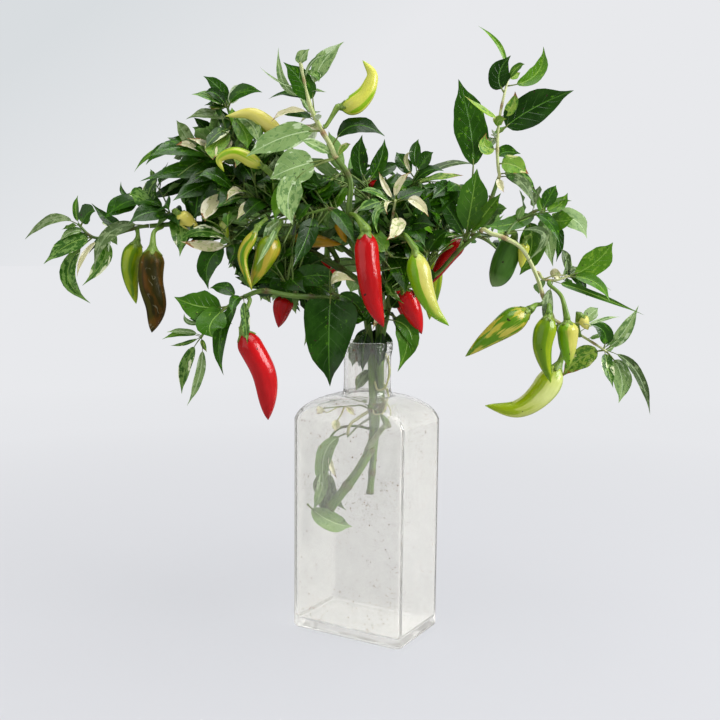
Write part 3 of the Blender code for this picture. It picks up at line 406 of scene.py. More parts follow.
        (0.8, (8, 90, 222), 14, "g", -80, (2, 4, 2)),
        (0.6, (20, 84, 254), 13, "m", -60, (0, 2, 5)),
        (0.7, (-34, 84, 246), 14, "g", -60, (0, 2, 5)))),
    "spray_back_right": ("bough_back_right", 1.0, 1.2, ((74, 66, 276), (86, 70, 274), (100, 74, 262)), 0.2,
                         60, 27, "ggggmvl", (
        (1.0, (104, 110, 272), 14, "g", -60, (0, 3, 5)),
        (0.9, (112, 88, 290), 13, "m", -50, (0, 2, 4)),
        (0.7, (92, 126, 274), 14, "g", -60, (0, 3, 5)),
        (0.5, (70, 112, 290), 13, "g", -50, (0, 2, 5)),
        (0.4, (66, 84, 300), 12, "v", -50, (0, 0, 5)))),
}

# ---------------------------------------------------------------- peppers, mm
# name: parent, share, bend points of the stalk, body from shoulder to tip, width, fullness, colour
PEPPERS = {
    "pepper_red_centre": ("bough_top", 0.62, ((-8, -36, 287),),
                          ((-2, -44, 276), (0, -46, 252), (3, -46, 234), (10, -46, 217)), 15.8, 3.4, "red"),
    "pepper_red_left": ("bough_front_left", 0.97, ((-79, -45, 224),),
                        ((-79, -47, 212), (-66, -47, 184), (-64, -46, 156)), 16.5, 3.6, "red"),
    "pepper_red_small": ("bough_front_left", 0.5, ((-52, -18, 242),),
                         ((-56, -12, 234), (-60, -14, 213)), 14, 2.0, "red"),
    "pepper_red_right": ("bough_right", 0.25, ((24, -15, 248),),
                         ((24, -19, 239), (36, -18, 210)), 14, 2.6, "red"),
    "pepper_red_slant": ("bough_right", 0.75, ((68, 14, 276),),
                         ((66, 18, 272), (56, 20, 262), (42, 22, 240)), 12, 2.4, "red"),
    "pepper_striped_front": ("spray_star", 0.45, ((22, -35, 276),),
                             ((30, -43, 264), (34, -45, 245), (42, -44, 228), (52, -43, 218)),
                             16, 1.9, "striped"),
    "pepper_upright": ("spray_top", 0.33, (),
                       ((-18, -26, 357), (-11, -26, 358), (-4, -26, 364), (0, -26, 371), (1, -26, 378),
                        (-5, -26, 386)), 13.5, 2.0, "lime"),
    "pepper_cream_upper": ("bough_upper_left", 0.85, ((-58, -8, 322), (-52, -12, 332)),
                           ((-58, -12, 339), (-76, -12, 353), (-95, -12, 352)), 12, 1.8, "cream"),
    "pepper_hook": ("spray_mid_left", 0.3, ((-62, -18, 302), (-62, -23, 311)),
                    ((-70, -26, 319), (-86, -28, 327), (-97, -28, 323), (-94, -28, 315)), 10, 2.0, "lime"),
    "pepper_green_left": ("spray_far_left", 0.16, (),
                          ((-155, -12, 269), (-160, -12, 251), (-156, -12, 228)), 14, 2.2, "green"),
    "pepper_olive": ("bough_left", 0.95, ((-142, -18, 276),),
                     ((-142, -24, 264), (-143, -25, 244), (-140, -25, 226), (-143, -25, 210)),
                     17, 3.6, "olive"),
    "pepper_yellow": ("spray_front_mid", 0.95, (),
                      ((-61, -38, 274), (-67, -40, 259), (-76, -40, 241)), 17, 1.7, "yellow"),
    "pepper_ochre": ("bough_left", 0.36, ((-58, -10, 272),),
                     ((-50, -14, 273), (-18, -13, 269)), 11, 1.8, "ochre"),
    "pepper_dark_green": ("bough_drop", 0.2, ((98, 0, 278),),
                          ((98, 4, 272), (90, 4, 250), (85, 4, 241)), 17, 6.0, "dark"),
    "pepper_striped_right": ("bough_drop", 0.9, ((112, -15, 230),),
                             ((106, -19, 226), (86, -22, 213), (65, -24, 196)), 18.5, 1.7, "banded"),
    "pepper_green_hanging": ("bough_drop", 0.93, ((120, -20, 230),),
                             ((119, -24, 223), (116, -24, 201), (122, -24, 179)), 15, 2.0, "green"),
    "pepper_cream_hanging": ("spray_right_low", 0.5, ((129, -14, 236),),
                             ((133, -16, 219), (135, -16, 189)), 14, 2.6, "striped"),
    "pepper_pale_curved": ("spray_right_tip", 0.25, ((133, -4, 204), (133, -3, 195)),
                           ((130, -3, 187), (120, -4, 169), (103, -5, 158), (81, -6, 160)),
                           19.5, 2.0, "pale"),
    "pepper_red_back": ("bough_back_left", 0.62, ((-30, 62, 268),),
                        ((-31, 64, 258), (-34, 66, 208)), 15, 3.0, "red"),
    "pepper_green_back": ("bough_back_right", 0.8, ((49, 58, 266),),
                          ((48, 62, 257), (46, 64, 213)), 15, 2.4, "green"),
}
# A slot name for each skin.
SKIN_SLOTS = {"red": "red", "striped": "striped", "lime": "striped", "cream": "yellow", "green": "green",
              "olive": "olive", "yellow": "yellow", "ochre": "yellow", "dark": "green",
              "banded": "striped", "pale": "green"}
STALK_RADIUS = 1.25
# How far before the shoulder a stalk straightens, mm.
SHOULDER_RUN = 3.0
# Steps to a span of the body, and rings and sides of body, calyx and stalk.
BODY_STEPS = 14
PEPPER_RINGS, PEPPER_SIDES = 46, 26
CALYX_RINGS, CALYX_SIDES = 10, 30
STALK_SIDES = 12
# How much stouter than the rest some stalks grow.
STOUT_STALKS = {"pepper_red_centre": 1.6, "pepper_olive": 1.15, "pepper_dark_green": 1.2,
                "pepper_striped_right": 1.35}

# Fruit too small for a solid of its own: stalk start, body from shoulder to tip, width, fullness, skin.
SMALL_FRUIT = {
    "small_pepper_cream": (((-128, -8, 284),), ((-126, -16, 288), (-112, -16, 276)), 11, 2.4, "cream"),
    "small_pepper_bud": (((-98, -10, 281),), ((-97, -18, 284), (-93, -18, 272)), 6, 2.2, "pale"),
    "small_pepper_lime": (((109, -6, 276),), ((105, -4, 271), (103, -4, 254)), 8, 2.4, "lime"),
    "small_pepper_orange": (((-22, -8, 281),), ((-20, -16, 284), (-15, -18, 270)), 8, 2.4, "ochre"),
    "small_pepper_curved": (((-66, -34, 285), (-70, -40, 281)),
                            ((-72, -44, 277), (-80, -46, 260), (-74, -46, 239)), 8, 2.0, "banded"),
    "small_pepper_red": (((14, 14, 262),), ((16, 18, 257), (26, 16, 216)), 13, 2.6, "red"),
    "small_pepper_far": (((145, -1, 208), (142, -6, 217)), ((144, -8, 222), (149, -8, 213)), 8, 2.2, "cream"),
    "small_pepper_behind": (((-6, 2, 306),), ((-2, 4, 310), (18, 8, 309)), 7, 2.2, "red"),
}

# ---------------------------------------------------------------- how full the crown is, mm
# Leaves grown by the rule stay in these rounds: middle, half sizes.
CROWN = (
    ((-35, -2, 272), (64, 50, 54)), ((-96, -4, 300), (56, 42, 44)), ((30, -2, 280), (46, 40, 42)),
    ((-4, 0, 238), (44, 38, 34)), ((96, -2, 284), (38, 28, 22)), ((-44, 62, 272), (74, 46, 48)),
    ((50, 54, 276), (62, 42, 34)), ((-14, 42, 300), (44, 38, 36)), ((-96, 0, 346), (26, 22, 26)),
    ((0, 62, 246), (44, 36, 32)),
)
# Sprays whose leaves may grow outside the rounds.
FREE_SPRAYS = ("spray_far_left", "spray_top", "spray_upright", "spray_right_low", "spray_right_tip",
               "spray_low_left", "spray_upper_left", "spray_right_outer")
# A leading leaf is broad, or of middling width, from these widths in mm.
BROAD_LEAF, MIDDLING_LEAF = 25, 12
# How the rest grow: leaves to a side twig, tries for each, how square to the view a leaf has to
# lie, and the share dropped of those that lie more edge on.
LEAVES_TO_A_TWIG = 7.0
TRIES = 8
LEAST_FACING = 0.4
EDGE_ON_DROPPED = 0.85
# Rows and columns of a blade and sides of its stalk, for the leading leaves and for the rest.
LEADING_GRID = (15, 7, 6)
FILLING_GRID = (9, 5, 4)

# Thin twigs and cut ends in the bottle, bouquet mm: foot radius, tip radius, finish, route.
INSIDE_TWIGS = (
    (2.2, 1.9, 2, ((2, -1, 128), (6, -3, 136), (13, -6, 146))),
    (0.9, 0.5, 2, ((4, -1, 157), (-3, 1, 161), (-9, 2, 160), (-16, -2, 159), (-29, -4, 157))),
    (0.9, 0.6, 2, ((5, 0, 151), (-4, 2, 145), (-13, 0, 136))),
    (0.6, 0.4, 1, ((-15, -2, 159), (-17, -3, 153), (-20, -5, 148))),
    (0.5, 0.3, 1, ((-20, -3, 158), (-27, -4, 154), (-30, -4, 157))),
    (1.1, 0.7, 1, ((11, -4, 196), (15, -7, 184), (12, -8, 173), (7, -6, 170), (5, -4, 176))),
    (0.8, 0.5, 1, ((10, -4, 176), (14, -7, 165), (12, -8, 157), (6, -6, 154), (5, -4, 159))),
    (0.5, 0.3, 1, ((9, -5, 164), (14, -8, 160), (17, -9, 156), (16, -9, 151))),
    (0.5, 0.3, 0, ((8, -4, 158), (12, -6, 152), (13, -7, 146), (10, -8, 142))),
    (1.4, 1.0, 1, ((4, -1, 157), (-5, 1, 150), (-11, 1, 145), (-13, 2, 137))),
)
# Leaves pressed inside the neck and lying in the bottle: root, tip, width, kind, bend.
INSIDE_LEAVES = (
    ((2, 6, 214), (-6, 8, 184), 15, "g", (-3, 2, 0)),
    ((6, 8, 214), (4, 11, 180), 17, "g", (0, 3, 0)),
    ((9, 4, 214), (11, 7, 184), 14, "g", (2, 3, 0)),
    ((-2, -4, 210), (-10, -5, 186), 11, "d", (-2, -2, 0)),
    ((9, -6, 212), (7, -9, 186), 9, "g", (1, -1, 0)),
    ((0, -6, 212), (-3, -8, 183), 11, "g", (-2, -1, 0)),
    ((4, 2, 182), (-8, 0, 168), 9, "d", (-2, -1, 3)),
    ((-14, 3, 138), (-27, 4, 92), 13, "p", (-13, 0, 9)),
    ((-30, 4, 114), (-37, 5, 82), 9, "p", (4, 0, 0)),
    ((-26, 6, 108), (-30, 6, 76), 10, "d", (0, 2, 0)),
    ((-41, 5, 87), (-9, 8, 70), 16, "p", (0, 0, -6)),
    ((-25, 1, 124), (-20, 2, 106), 4, "c", (-2, 0, 0)),
    ((-29, -4, 157), (-34, -5, 153), 6, "c", (0, 0, 1)),
    ((-19, -4, 150), (-21, -6, 141), 7, "c", (-1, 0, 0)),
    ((-14, -3, 159), (-8, -4, 152), 5, "c", (0, 0, 1)),
)


# ================================================================ routes
def bouquet(points):
    """Bouquet millimetres (across, back, up) to metres: across * A + back * B + up * Z."""
    return np.asarray(points, float) @ np.array([ACROSS, BACK, UP]) * MM


def unit(vectors):
    """The vectors at length 1."""
    return vectors / np.maximum(np.linalg.norm(vectors, axis=-1, keepdims=True), 1e-12)


def smooth(points, steps):
    """Catmull-Rom: (2b + (c - a) t + (2a - 5b + 4c - d) t^2 + (3b - a - 3c + d) t^3) / 2 on each span."""
    ends = np.vstack([2 * points[0] - points[1], points, 2 * points[-1] - points[-2]])
    a, b, c, d = ends[:-3, None], ends[1:-2, None], ends[2:-1, None], ends[3:, None]
    t = (np.arange(steps) / steps)[None, :, None]
    curve = 0.5 * (2 * b + (c - a) * t + (2 * a - 5 * b + 4 * c - d) * t ** 2
                   + (3 * b - a - 3 * c + d) * t ** 3)
    return np.vstack([curve.reshape(-1, 3), points[-1:]])


def shares_of(route):
    """How far along the route each point lies, from 0 to 1, and the route's length."""
    lengths = np.concatenate([[0.0], np.cumsum(np.linalg.norm(np.diff(route, axis=0), axis=1))])
    return lengths / lengths[-1], lengths[-1]


def spaced(route, count):
    """The route again, as points at even steps of its length."""
    shares, _ = shares_of(route)
    wanted = np.linspace(0.0, 1.0, count)
    return np.stack([np.interp(wanted, shares, route[:, k]) for k in range(3)], axis=1)


class Limb:
    """A tapering round limb: its route, its radius along it, and places on its skin."""

    def __init__(self, route, foot_radius, tip_radius):
        self.route = route
        self.shares, self.length = shares_of(route)
        self.foot_radius, self.tip_radius = foot_radius, tip_radius

    def at(self, share):
        """Point, direction and radius at a share of the length."""
        share = min(max(share, 0.0), 1.0)
        point = np.array([np.interp(share, self.shares, self.route[:, k]) for k in range(3)])
        i = min(int(np.searchsorted(self.shares, share, side="right")) - 1, len(self.route) - 2)
        radius = self.foot_radius + (self.tip_radius - self.foot_radius) * share
        return point, unit(self.route[i + 1] - self.route[i]), radius

    def seat(self, share, toward):
        """A start just clear of the limb: straight on from its tip, or square off its side."""
        point, along, radius = self.at(share)
        if share >= 1.0:
            return point + along * SEAT_GAP * MM, along
        off = toward - point
        off = unit(off - along * (off @ along))
        return point + off * (radius + SEAT_GAP * MM), off


def rooted_route(parent, share, points, steps):
    """A smooth route that starts at a seat on the parent and leaves it straight."""
    start, direction = parent.seat(share, points[0])
    return smooth(np.vstack([start, start + direction * STEP_OFF * MM, points]), steps)


def aside(along, heading):
    """The direction square to a limb at a heading round it: cos h * level + sin h * (along x level)."""
    level = np.cross(along, UP)
    if np.linalg.norm(level) < 0.1:
        level = np.cross(along, ACROSS)
    level = unit(level)
    return level * math.cos(heading) + np.cross(along, level) * math.sin(heading)


# ================================================================ meshes
class Skin:
    """Gathers grids of points into one mesh, with where each point lies on its own part."""

    def __init__(self):
        self.points, self.quads, self.tris, self.quad_slots, self.tri_slots = [], [], [], [], []
        self.places, self.shares, self.rims = [], [], []
        self.count = 0

    def add(self, points, quads, tris, quad_slots, tri_slots, places, shares, rims=None):
        """Points in metres, corners of faces, a material for each face, and two vectors a point."""
        points = points.reshape(-1, 3)
        self.points.append(points)
        self.quads.append(quads.reshape(-1, 4) + self.count)
        self.tris.append(tris.reshape(-1, 3) + self.count)
        self.quad_slots.append(np.broadcast_to(quad_slots, len(self.quads[-1])))
        self.tri_slots.append(np.broadcast_to(tri_slots, len(self.tris[-1])))
        self.places.append(places.reshape(-1, 3))
        self.shares.append(shares.reshape(-1, 3))
        self.rims.append(np.zeros(len(points), bool) if rims is None else rims.reshape(-1))
        self.count += len(points)

    def build(self, name, finishes):
        """The mesh as an object at the origin, with each point's place in mm and shares of its part."""
        points, quads, tris = (np.concatenate(part) for part in (self.points, self.quads, self.tris))
        corners = np.concatenate([quads.ravel(), tris.ravel()]).astype(np.int32)
        starts = np.concatenate([np.arange(len(quads)) * 4, len(quads) * 4 + np.arange(len(tris)) * 3])
        slots = np.concatenate(self.quad_slots + self.tri_slots).astype(np.int32)
        mesh = bpy.data.meshes.new(name)
        mesh.vertices.add(len(points))
        mesh.vertices.foreach_set("co", points.astype(np.float32).ravel())
        mesh.loops.add(len(corners))
        mesh.loops.foreach_set("vertex_index", corners)
        mesh.polygons.add(len(starts))
        mesh.polygons.foreach_set("loop_start", starts.astype(np.int32))
        mesh.polygons.foreach_set("material_index", slots)
        for finish in finishes:
            mesh.materials.append(finish)
        mesh.update(calc_edges=True)
        for label, values in (("place", self.places), ("share", self.shares)):
            layer = mesh.attributes.new(label, "FLOAT_VECTOR", "POINT")
            layer.data.foreach_set("vector", np.concatenate(values).astype(np.float32).ravel())
        mesh.shade_smooth()
        rims = np.concatenate(self.rims)
        if rims.any():
            edges = np.empty(len(mesh.edges) * 2, np.int32)
            mesh.edges.foreach_get("vertices", edges)
            edges = edges.reshape(-1, 2)
            mesh.attributes.new("sharp_edge", "BOOLEAN", "EDGE").data.foreach_set(
                "value", rims[edges[:, 0]] & rims[edges[:, 1]])
        piece = bpy.data.objects.new(name, mesh)
        bpy.context.scene.collection.objects.link(piece)
        return piece


def tube_faces(rings, sides):
    """Corners of a closed tube: two end points, then rings x sides points, each face turned outwards."""
    grid = 2 + np.arange(rings * sides).reshape(rings, sides)
    following = np.roll(grid, -1, axis=1)
    quads = np.stack([grid[:-1], following[:-1], following[1:], grid[1:]], axis=-1).reshape(-1, 4)
    foot = np.stack([np.zeros(sides, int), following[0], grid[0]], axis=-1)
    tip = np.stack([np.ones(sides, int), grid[-1], following[-1]], axis=-1)
    return quads, np.concatenate([foot, tip])


def add_tubes(skin, routes, radii, sides, slot, tone=0.5, seed=0.0, relief=None):
    """Rings along routes (k, n, 3): p = c + r (cos a S + sin a L), with S square to the route's own plane.

    The radii are (k, n), and relief, when given, scales them over (n, sides).
    """
    many, rings, _ = routes.shape
    along = unit(np.gradient(routes, axis=1))
    spread = routes - routes.mean(axis=1, keepdims=True)
    flattest = np.linalg.svd(spread, full_matrices=False)[2][:, 2]
    side = flattest[:, None] - along * np.sum(along * flattest[:, None], axis=-1, keepdims=True)
    side = unit(side)
    lift = np.cross(along, side)
    angle = 2 * math.pi * np.arange(sides) / sides
    ring = np.cos(angle)[:, None] * side[:, :, None] + np.sin(angle)[:, None] * lift[:, :, None]
    reach = radii[:, :, None] * (np.ones((rings, sides)) if relief is None else relief)
    walls = routes[:, :, None] + reach[..., None] * ring
    points = np.concatenate([routes[:, :1], routes[:, -1:], walls.reshape(many, -1, 3)], axis=1)
    steps = np.linalg.norm(np.diff(routes, axis=1), axis=2)
    lengths = np.concatenate([np.zeros((many, 1)), np.cumsum(steps, axis=1)], axis=1) / MM
    seeds = np.broadcast_to(np.asarray(seed, float), many)[:, None]
    places = np.zeros((many, points.shape[1], 3))
    places[:, 0, 2], places[:, 1, 2] = lengths[:, 0], lengths[:, -1]
    places[:, 2:, 0] = (reach * np.cos(angle)).reshape(many, -1) / MM
    places[:, 2:, 1] = (reach * np.sin(angle)).reshape(many, -1) / MM
    places[:, 2:, 2] = np.repeat(lengths, sides, axis=1)
    places[:, :, 2] += seeds * 100.0
    shares = np.zeros_like(places)
    shares[:, 1, 1] = 1.0
    shares[:, 2:, 0] = np.tile(np.cos(angle), rings)
    shares[:, 2:, 1] = np.repeat(np.linspace(0, 1, rings), sides)
    tones = np.broadcast_to(tone, rings)
    shares[:, 0, 2], shares[:, 1, 2] = tones[0], tones[-1]
    shares[:, 2:, 2] = np.repeat(tones, sides)
    quads, tris = tube_faces(rings, sides)
    step = (np.arange(many) * points.shape[1])[:, None, None]
    skin.add(points, quads + step, tris + step, slot, slot, places, shares)
    return walls


# ================================================================ leaves
# Columns of a leaf's row of values.
ROOT, TIP, BEND, LATE, HINT = slice(0, 3), slice(3, 6), slice(6, 9), slice(9, 12), slice(12, 15)
WIDTH, PETIOLE, FOLD, WAVE, RIPPLES, TWIST, FULL, KIND, SEED, TONE = range(15, 25)
KINDS = "gmvcpld"
UNDERSIDE = {"g": 7, "m": 7, "v": 7, "c": 8, "p": 8, "l": 8, "d": 7}
PETIOLE_SLOT = 9
LEAF_THICKNESS = 0.32 * MM


def leaf_row(root, tip, bend, late, hint, width, kind, rng, petiole=0.12, full=0.62, fold=None, wave=None):
    """One leaf's values: its two ends and bends, the way its upper side looks, its width and its habit."""
    fold = rng.uniform(0.12, 0.42) if fold is None else fold
    wave = rng.uniform(0.05, 0.2) if wave is None else wave
    return np.concatenate([root, tip, bend, late, hint,
                           [width, petiole, fold, wave, rng.uniform(1.2, 2.6), rng.uniform(-0.5, 0.5), full,
                            KINDS.index(kind), rng.uniform(0, 10), rng.uniform(0, 1)]])


def leaf_pattern(rows, columns):
    """How a leaf's corners join: an upper and an under sheet that share the rim and both end points."""
    inner = rows - 2
    upper = np.zeros((rows, columns), int)
    upper[-1] = 1
    upper[1:-1] = 2 + np.arange(inner * columns).reshape(inner, columns)
    under = upper.copy()
    under[1:-1, 1:-1] = 2 + inner * columns + np.arange(inner * (columns - 2)).reshape(inner, columns - 2)
    quads, tris = [], []
    for sheet, turned in ((upper, False), (under, True)):
        here, after = sheet[1:-2], sheet[2:-1]
        faces = [np.stack([here[:, :-1], here[:, 1:], after[:, 1:], after[:, :-1]], -1).reshape(-1, 4),
                 np.stack([sheet[0, :-1], sheet[1, 1:], sheet[1, :-1]], -1),
                 np.stack([sheet[-2, :-1], sheet[-2, 1:], sheet[-1, :-1]], -1)]
        faces = [face[:, [0, -1, -2, -3][:face.shape[1]]] if turned else face for face in faces]
        quads.append(faces[0])
        tris += faces[1:]
    rims = np.zeros(2 + inner * columns + inner * (columns - 2), bool)
    rims[[0, 1]] = True
    rims[upper[1:-1, 0]] = True
    rims[upper[1:-1, -1]] = True
    return quads, tris, rims


def bezier(ends, share):
    """Cubic Bezier: p = u^3 a + 3 u^2 s b + 3 u s^2 c + s^3 d with u = 1 - s, and its slope."""
    a, b, c, d = (end[:, None] for end in ends)
    s = share[..., None]
    u = 1 - s
    points = u ** 3 * a + 3 * u ** 2 * s * b + 3 * u * s ** 2 * c + s ** 3 * d
    slopes = 3 * u ** 2 * (b - a) + 6 * u * s * (c - b) + 3 * s ** 2 * (d - c)
    return points, unit(slopes)


def add_leaves(skin, leaves, rows, columns, petiole_sides):
    """Blades and stalks of many leaves at once.

    The centre line is a cubic Bezier.  Half the width is w/2 t^a (1 - t)^b over its peak, and half of
    that again from t = 0.92 on, which draws out the tip.  A point at v of the half width h stands
    v h cos f sideways and |v| h sin f, plus a ripple at the margin, towards the upper side.  The
    under sheet lies a leaf's thickness below.
    """
    if not len(leaves):
        return
    leaves = np.asarray(leaves)
    root, tip = leaves[:, ROOT], leaves[:, TIP]
    chord = tip - root
    length = np.linalg.norm(chord, axis=1)
    ends = (root, root + chord / 3 + leaves[:, BEND], root + chord * 2 / 3 + leaves[:, LATE], tip)
    t = 0.5 - 0.5 * np.cos(np.linspace(0.0, 1.0, rows) * math.pi)
    t = 0.55 * t + 0.45 * np.linspace(0.0, 1.0, rows)
    petiole = leaves[:, PETIOLE, None]
    centre, along = bezier(ends, petiole + (1 - petiole) * t)
    side = unit(np.cross(chord, leaves[:, HINT]))[:, None]
    side = unit(side - along * np.sum(side * along, axis=-1, keepdims=True))
    upper = np.cross(side, along)
    turn = (leaves[:, TWIST, None] * (t - 0.3))[..., None]
    side, upper = side * np.cos(turn) + upper * np.sin(turn), upper * np.cos(turn) - side * np.sin(turn)
    full, taper = leaves[:, FULL, None], 0.95
    peak = full / (full + taper)
    profile = (t ** full) * (1 - t) ** taper / (peak ** full * (1 - peak) ** taper)
    drip = np.clip((t - 0.7) / 0.22, 0.0, 1.0)
    profile = profile * (1 - 0.5 * drip ** 2 * (3 - 2 * drip))
    v = np.linspace(-1.0, 1.0, columns)
    phase = leaves[:, SEED, None, None] * 2.0 + 1.9 * (v > 0)
    ripple = np.sin(2 * math.pi * leaves[:, RIPPLES, None, None] * t[:, None] + phase)
    half = (leaves[:, WIDTH, None] / 2 * profile)[:, :, None] * (1 + 0.05 * ripple * v ** 2)
    fold = leaves[:, FOLD, None, None] * (1.15 - 0.5 * t[:, None])
    level = half * v * np.cos(fold)
    height = half * ((np.sqrt(v ** 2 + 0.01) - 0.1) * np.sin(fold)
                     + leaves[:, WAVE, None, None] * v ** 2 * ripple)
    sheet = centre[:, :, None] + side[:, :, None] * level[..., None] + upper[:, :, None] * height[..., None]
    thickness = LEAF_THICKNESS * np.minimum(1.0, profile * 2.5)[:, 1:-1, None, None]
    below = sheet[:, 1:-1, 1:-1] - upper[:, 1:-1, None] * thickness
    many = len(leaves)
    points = np.concatenate([sheet[:, 0, :1], sheet[:, -1, :1], sheet[:, 1:-1].reshape(many, -1, 3),
                             below.reshape(many, -1, 3)], axis=1)
    mm_along = (length[:, None] * (1 - petiole) * t) / MM
    place = np.stack([level / MM, np.broadcast_to(mm_along[:, :, None], level.shape),
                      np.broadcast_to(leaves[:, SEED, None, None] * 50.0, level.shape)], axis=-1)
    share = np.stack([np.broadcast_to(v, level.shape), np.broadcast_to(t[:, None], level.shape),
                      np.broadcast_to(leaves[:, TONE, None, None], level.shape)], axis=-1)
    rib = slice(columns // 2, columns // 2 + 1)
    layers = [np.concatenate([layer[:, 0, rib], layer[:, -1, rib], layer[:, 1:-1].reshape(many, -1, 3),
                              layer[:, 1:-1, 1:-1].reshape(many, -1, 3)], axis=1)
              for layer in (place, share)]
    quads, tris, rims = leaf_pattern(rows, columns)
    step = (np.arange(many) * points.shape[1])[:, None, None]
    kinds = leaves[:, KIND].astype(int)
    unders = np.array([UNDERSIDE[kind] for kind in KINDS])[kinds]

    def slots(on_top, below):
        return np.concatenate([np.repeat(kinds, on_top).reshape(many, -1),
                               np.repeat(unders, below).reshape(many, -1)], axis=1).ravel()

    skin.add(points, np.concatenate(quads) + step, np.concatenate(tris) + step,
             slots(len(quads[0]), len(quads[1])),
             slots(len(tris[0]) + len(tris[1]), len(tris[2]) + len(tris[3])), *layers, np.tile(rims, many))
    stations = np.linspace(0.0, 1.0, 5 if petiole_sides > 4 else 3)
    routes, _ = bezier(ends, (petiole + 0.06) * stations)
    radii = np.clip(leaves[:, WIDTH] * 0.045, 0.28 * MM, 0.7 * MM)[:, None] * (1.15 - 0.45 * stations)
    routes = routes - upper[:, :1] * 0.2 * MM * stations[:, None]
    add_tubes(skin, routes, radii, petiole_sides, PETIOLE_SLOT)


# ================================================================ finishes
COLOURS = {"data_type": "RGBA"}
# Patches lie where noise is above a level: this one, less about 0.3 times the share that they cover.
NOISE_MIDDLE = 0.66


def linear(code):
    """sRGB hex to linear RGBA: v / 12.92 below 0.04045, else ((v + 0.055) / 1.055) ^ 2.4."""
    values = [int(code[i:i + 2], 16) / 255.0 for i in (1, 3, 5)]
    return tuple(v / 12.92 if v <= 0.04045 else ((v + 0.055) / 1.055) ** 2.4 for v in values) + (1.0,)


def add_node(tree, kind, inputs=(), fields=None):
    """Add a node, set its fields, set or link its inputs, and give its first open output.

    The inputs are a dict by name, or a row for the open ones in their order.  The fields are a dict,
    or the name of an operation.
    """
    made = tree.nodes.new("ShaderNode" + kind)
    for field, value in ({"operation": fields} if isinstance(fields, str) else fields or {}).items():
        setattr(made, field, value)
    if not isinstance(inputs, dict):
        inputs = dict(zip([n for n, socket in enumerate(made.inputs) if socket.enabled], inputs))
    for name, value in inputs.items():
        if isinstance(value, bpy.types.NodeSocket):
            tree.links.new(value, made.inputs[name])
        else:
            made.inputs[name].default_value = value
    return next((socket for socket in made.outputs if socket.enabled), None)


def new_finish(name):
    """An empty material, and what adds nodes to it."""
    finish = bpy.data.materials.new(name)
    finish.use_nodes = True
    finish.node_tree.nodes.clear()
    return finish, partial(add_node, finish.node_tree)


def carried(node):
    """The two vectors that each point carries: its place in mm, and its shares of the part."""
    return [node("Attribute", (), {"attribute_name": label}).node.outputs["Vector"]
            for label in ("place", "share")]


def stretched(node, vector, stretch, scale, detail=2.0, roughness=0.5):
    """Noise over a vector that is first stretched, from about 0.25 to 0.75."""
    return node("TexNoise", (node("VectorMath", (vector, stretch), "MULTIPLY"), scale, detail, roughness))


def laid_over(node, colour, code, value, low, high, start=0.0, end=1.0):
    """The colour with another over it, from start to end of it as the value goes from low to high."""
    share = node("MapRange", (value, low, high, start, end))
    return node("Mix", (share, colour, linear(code)), COLOURS)


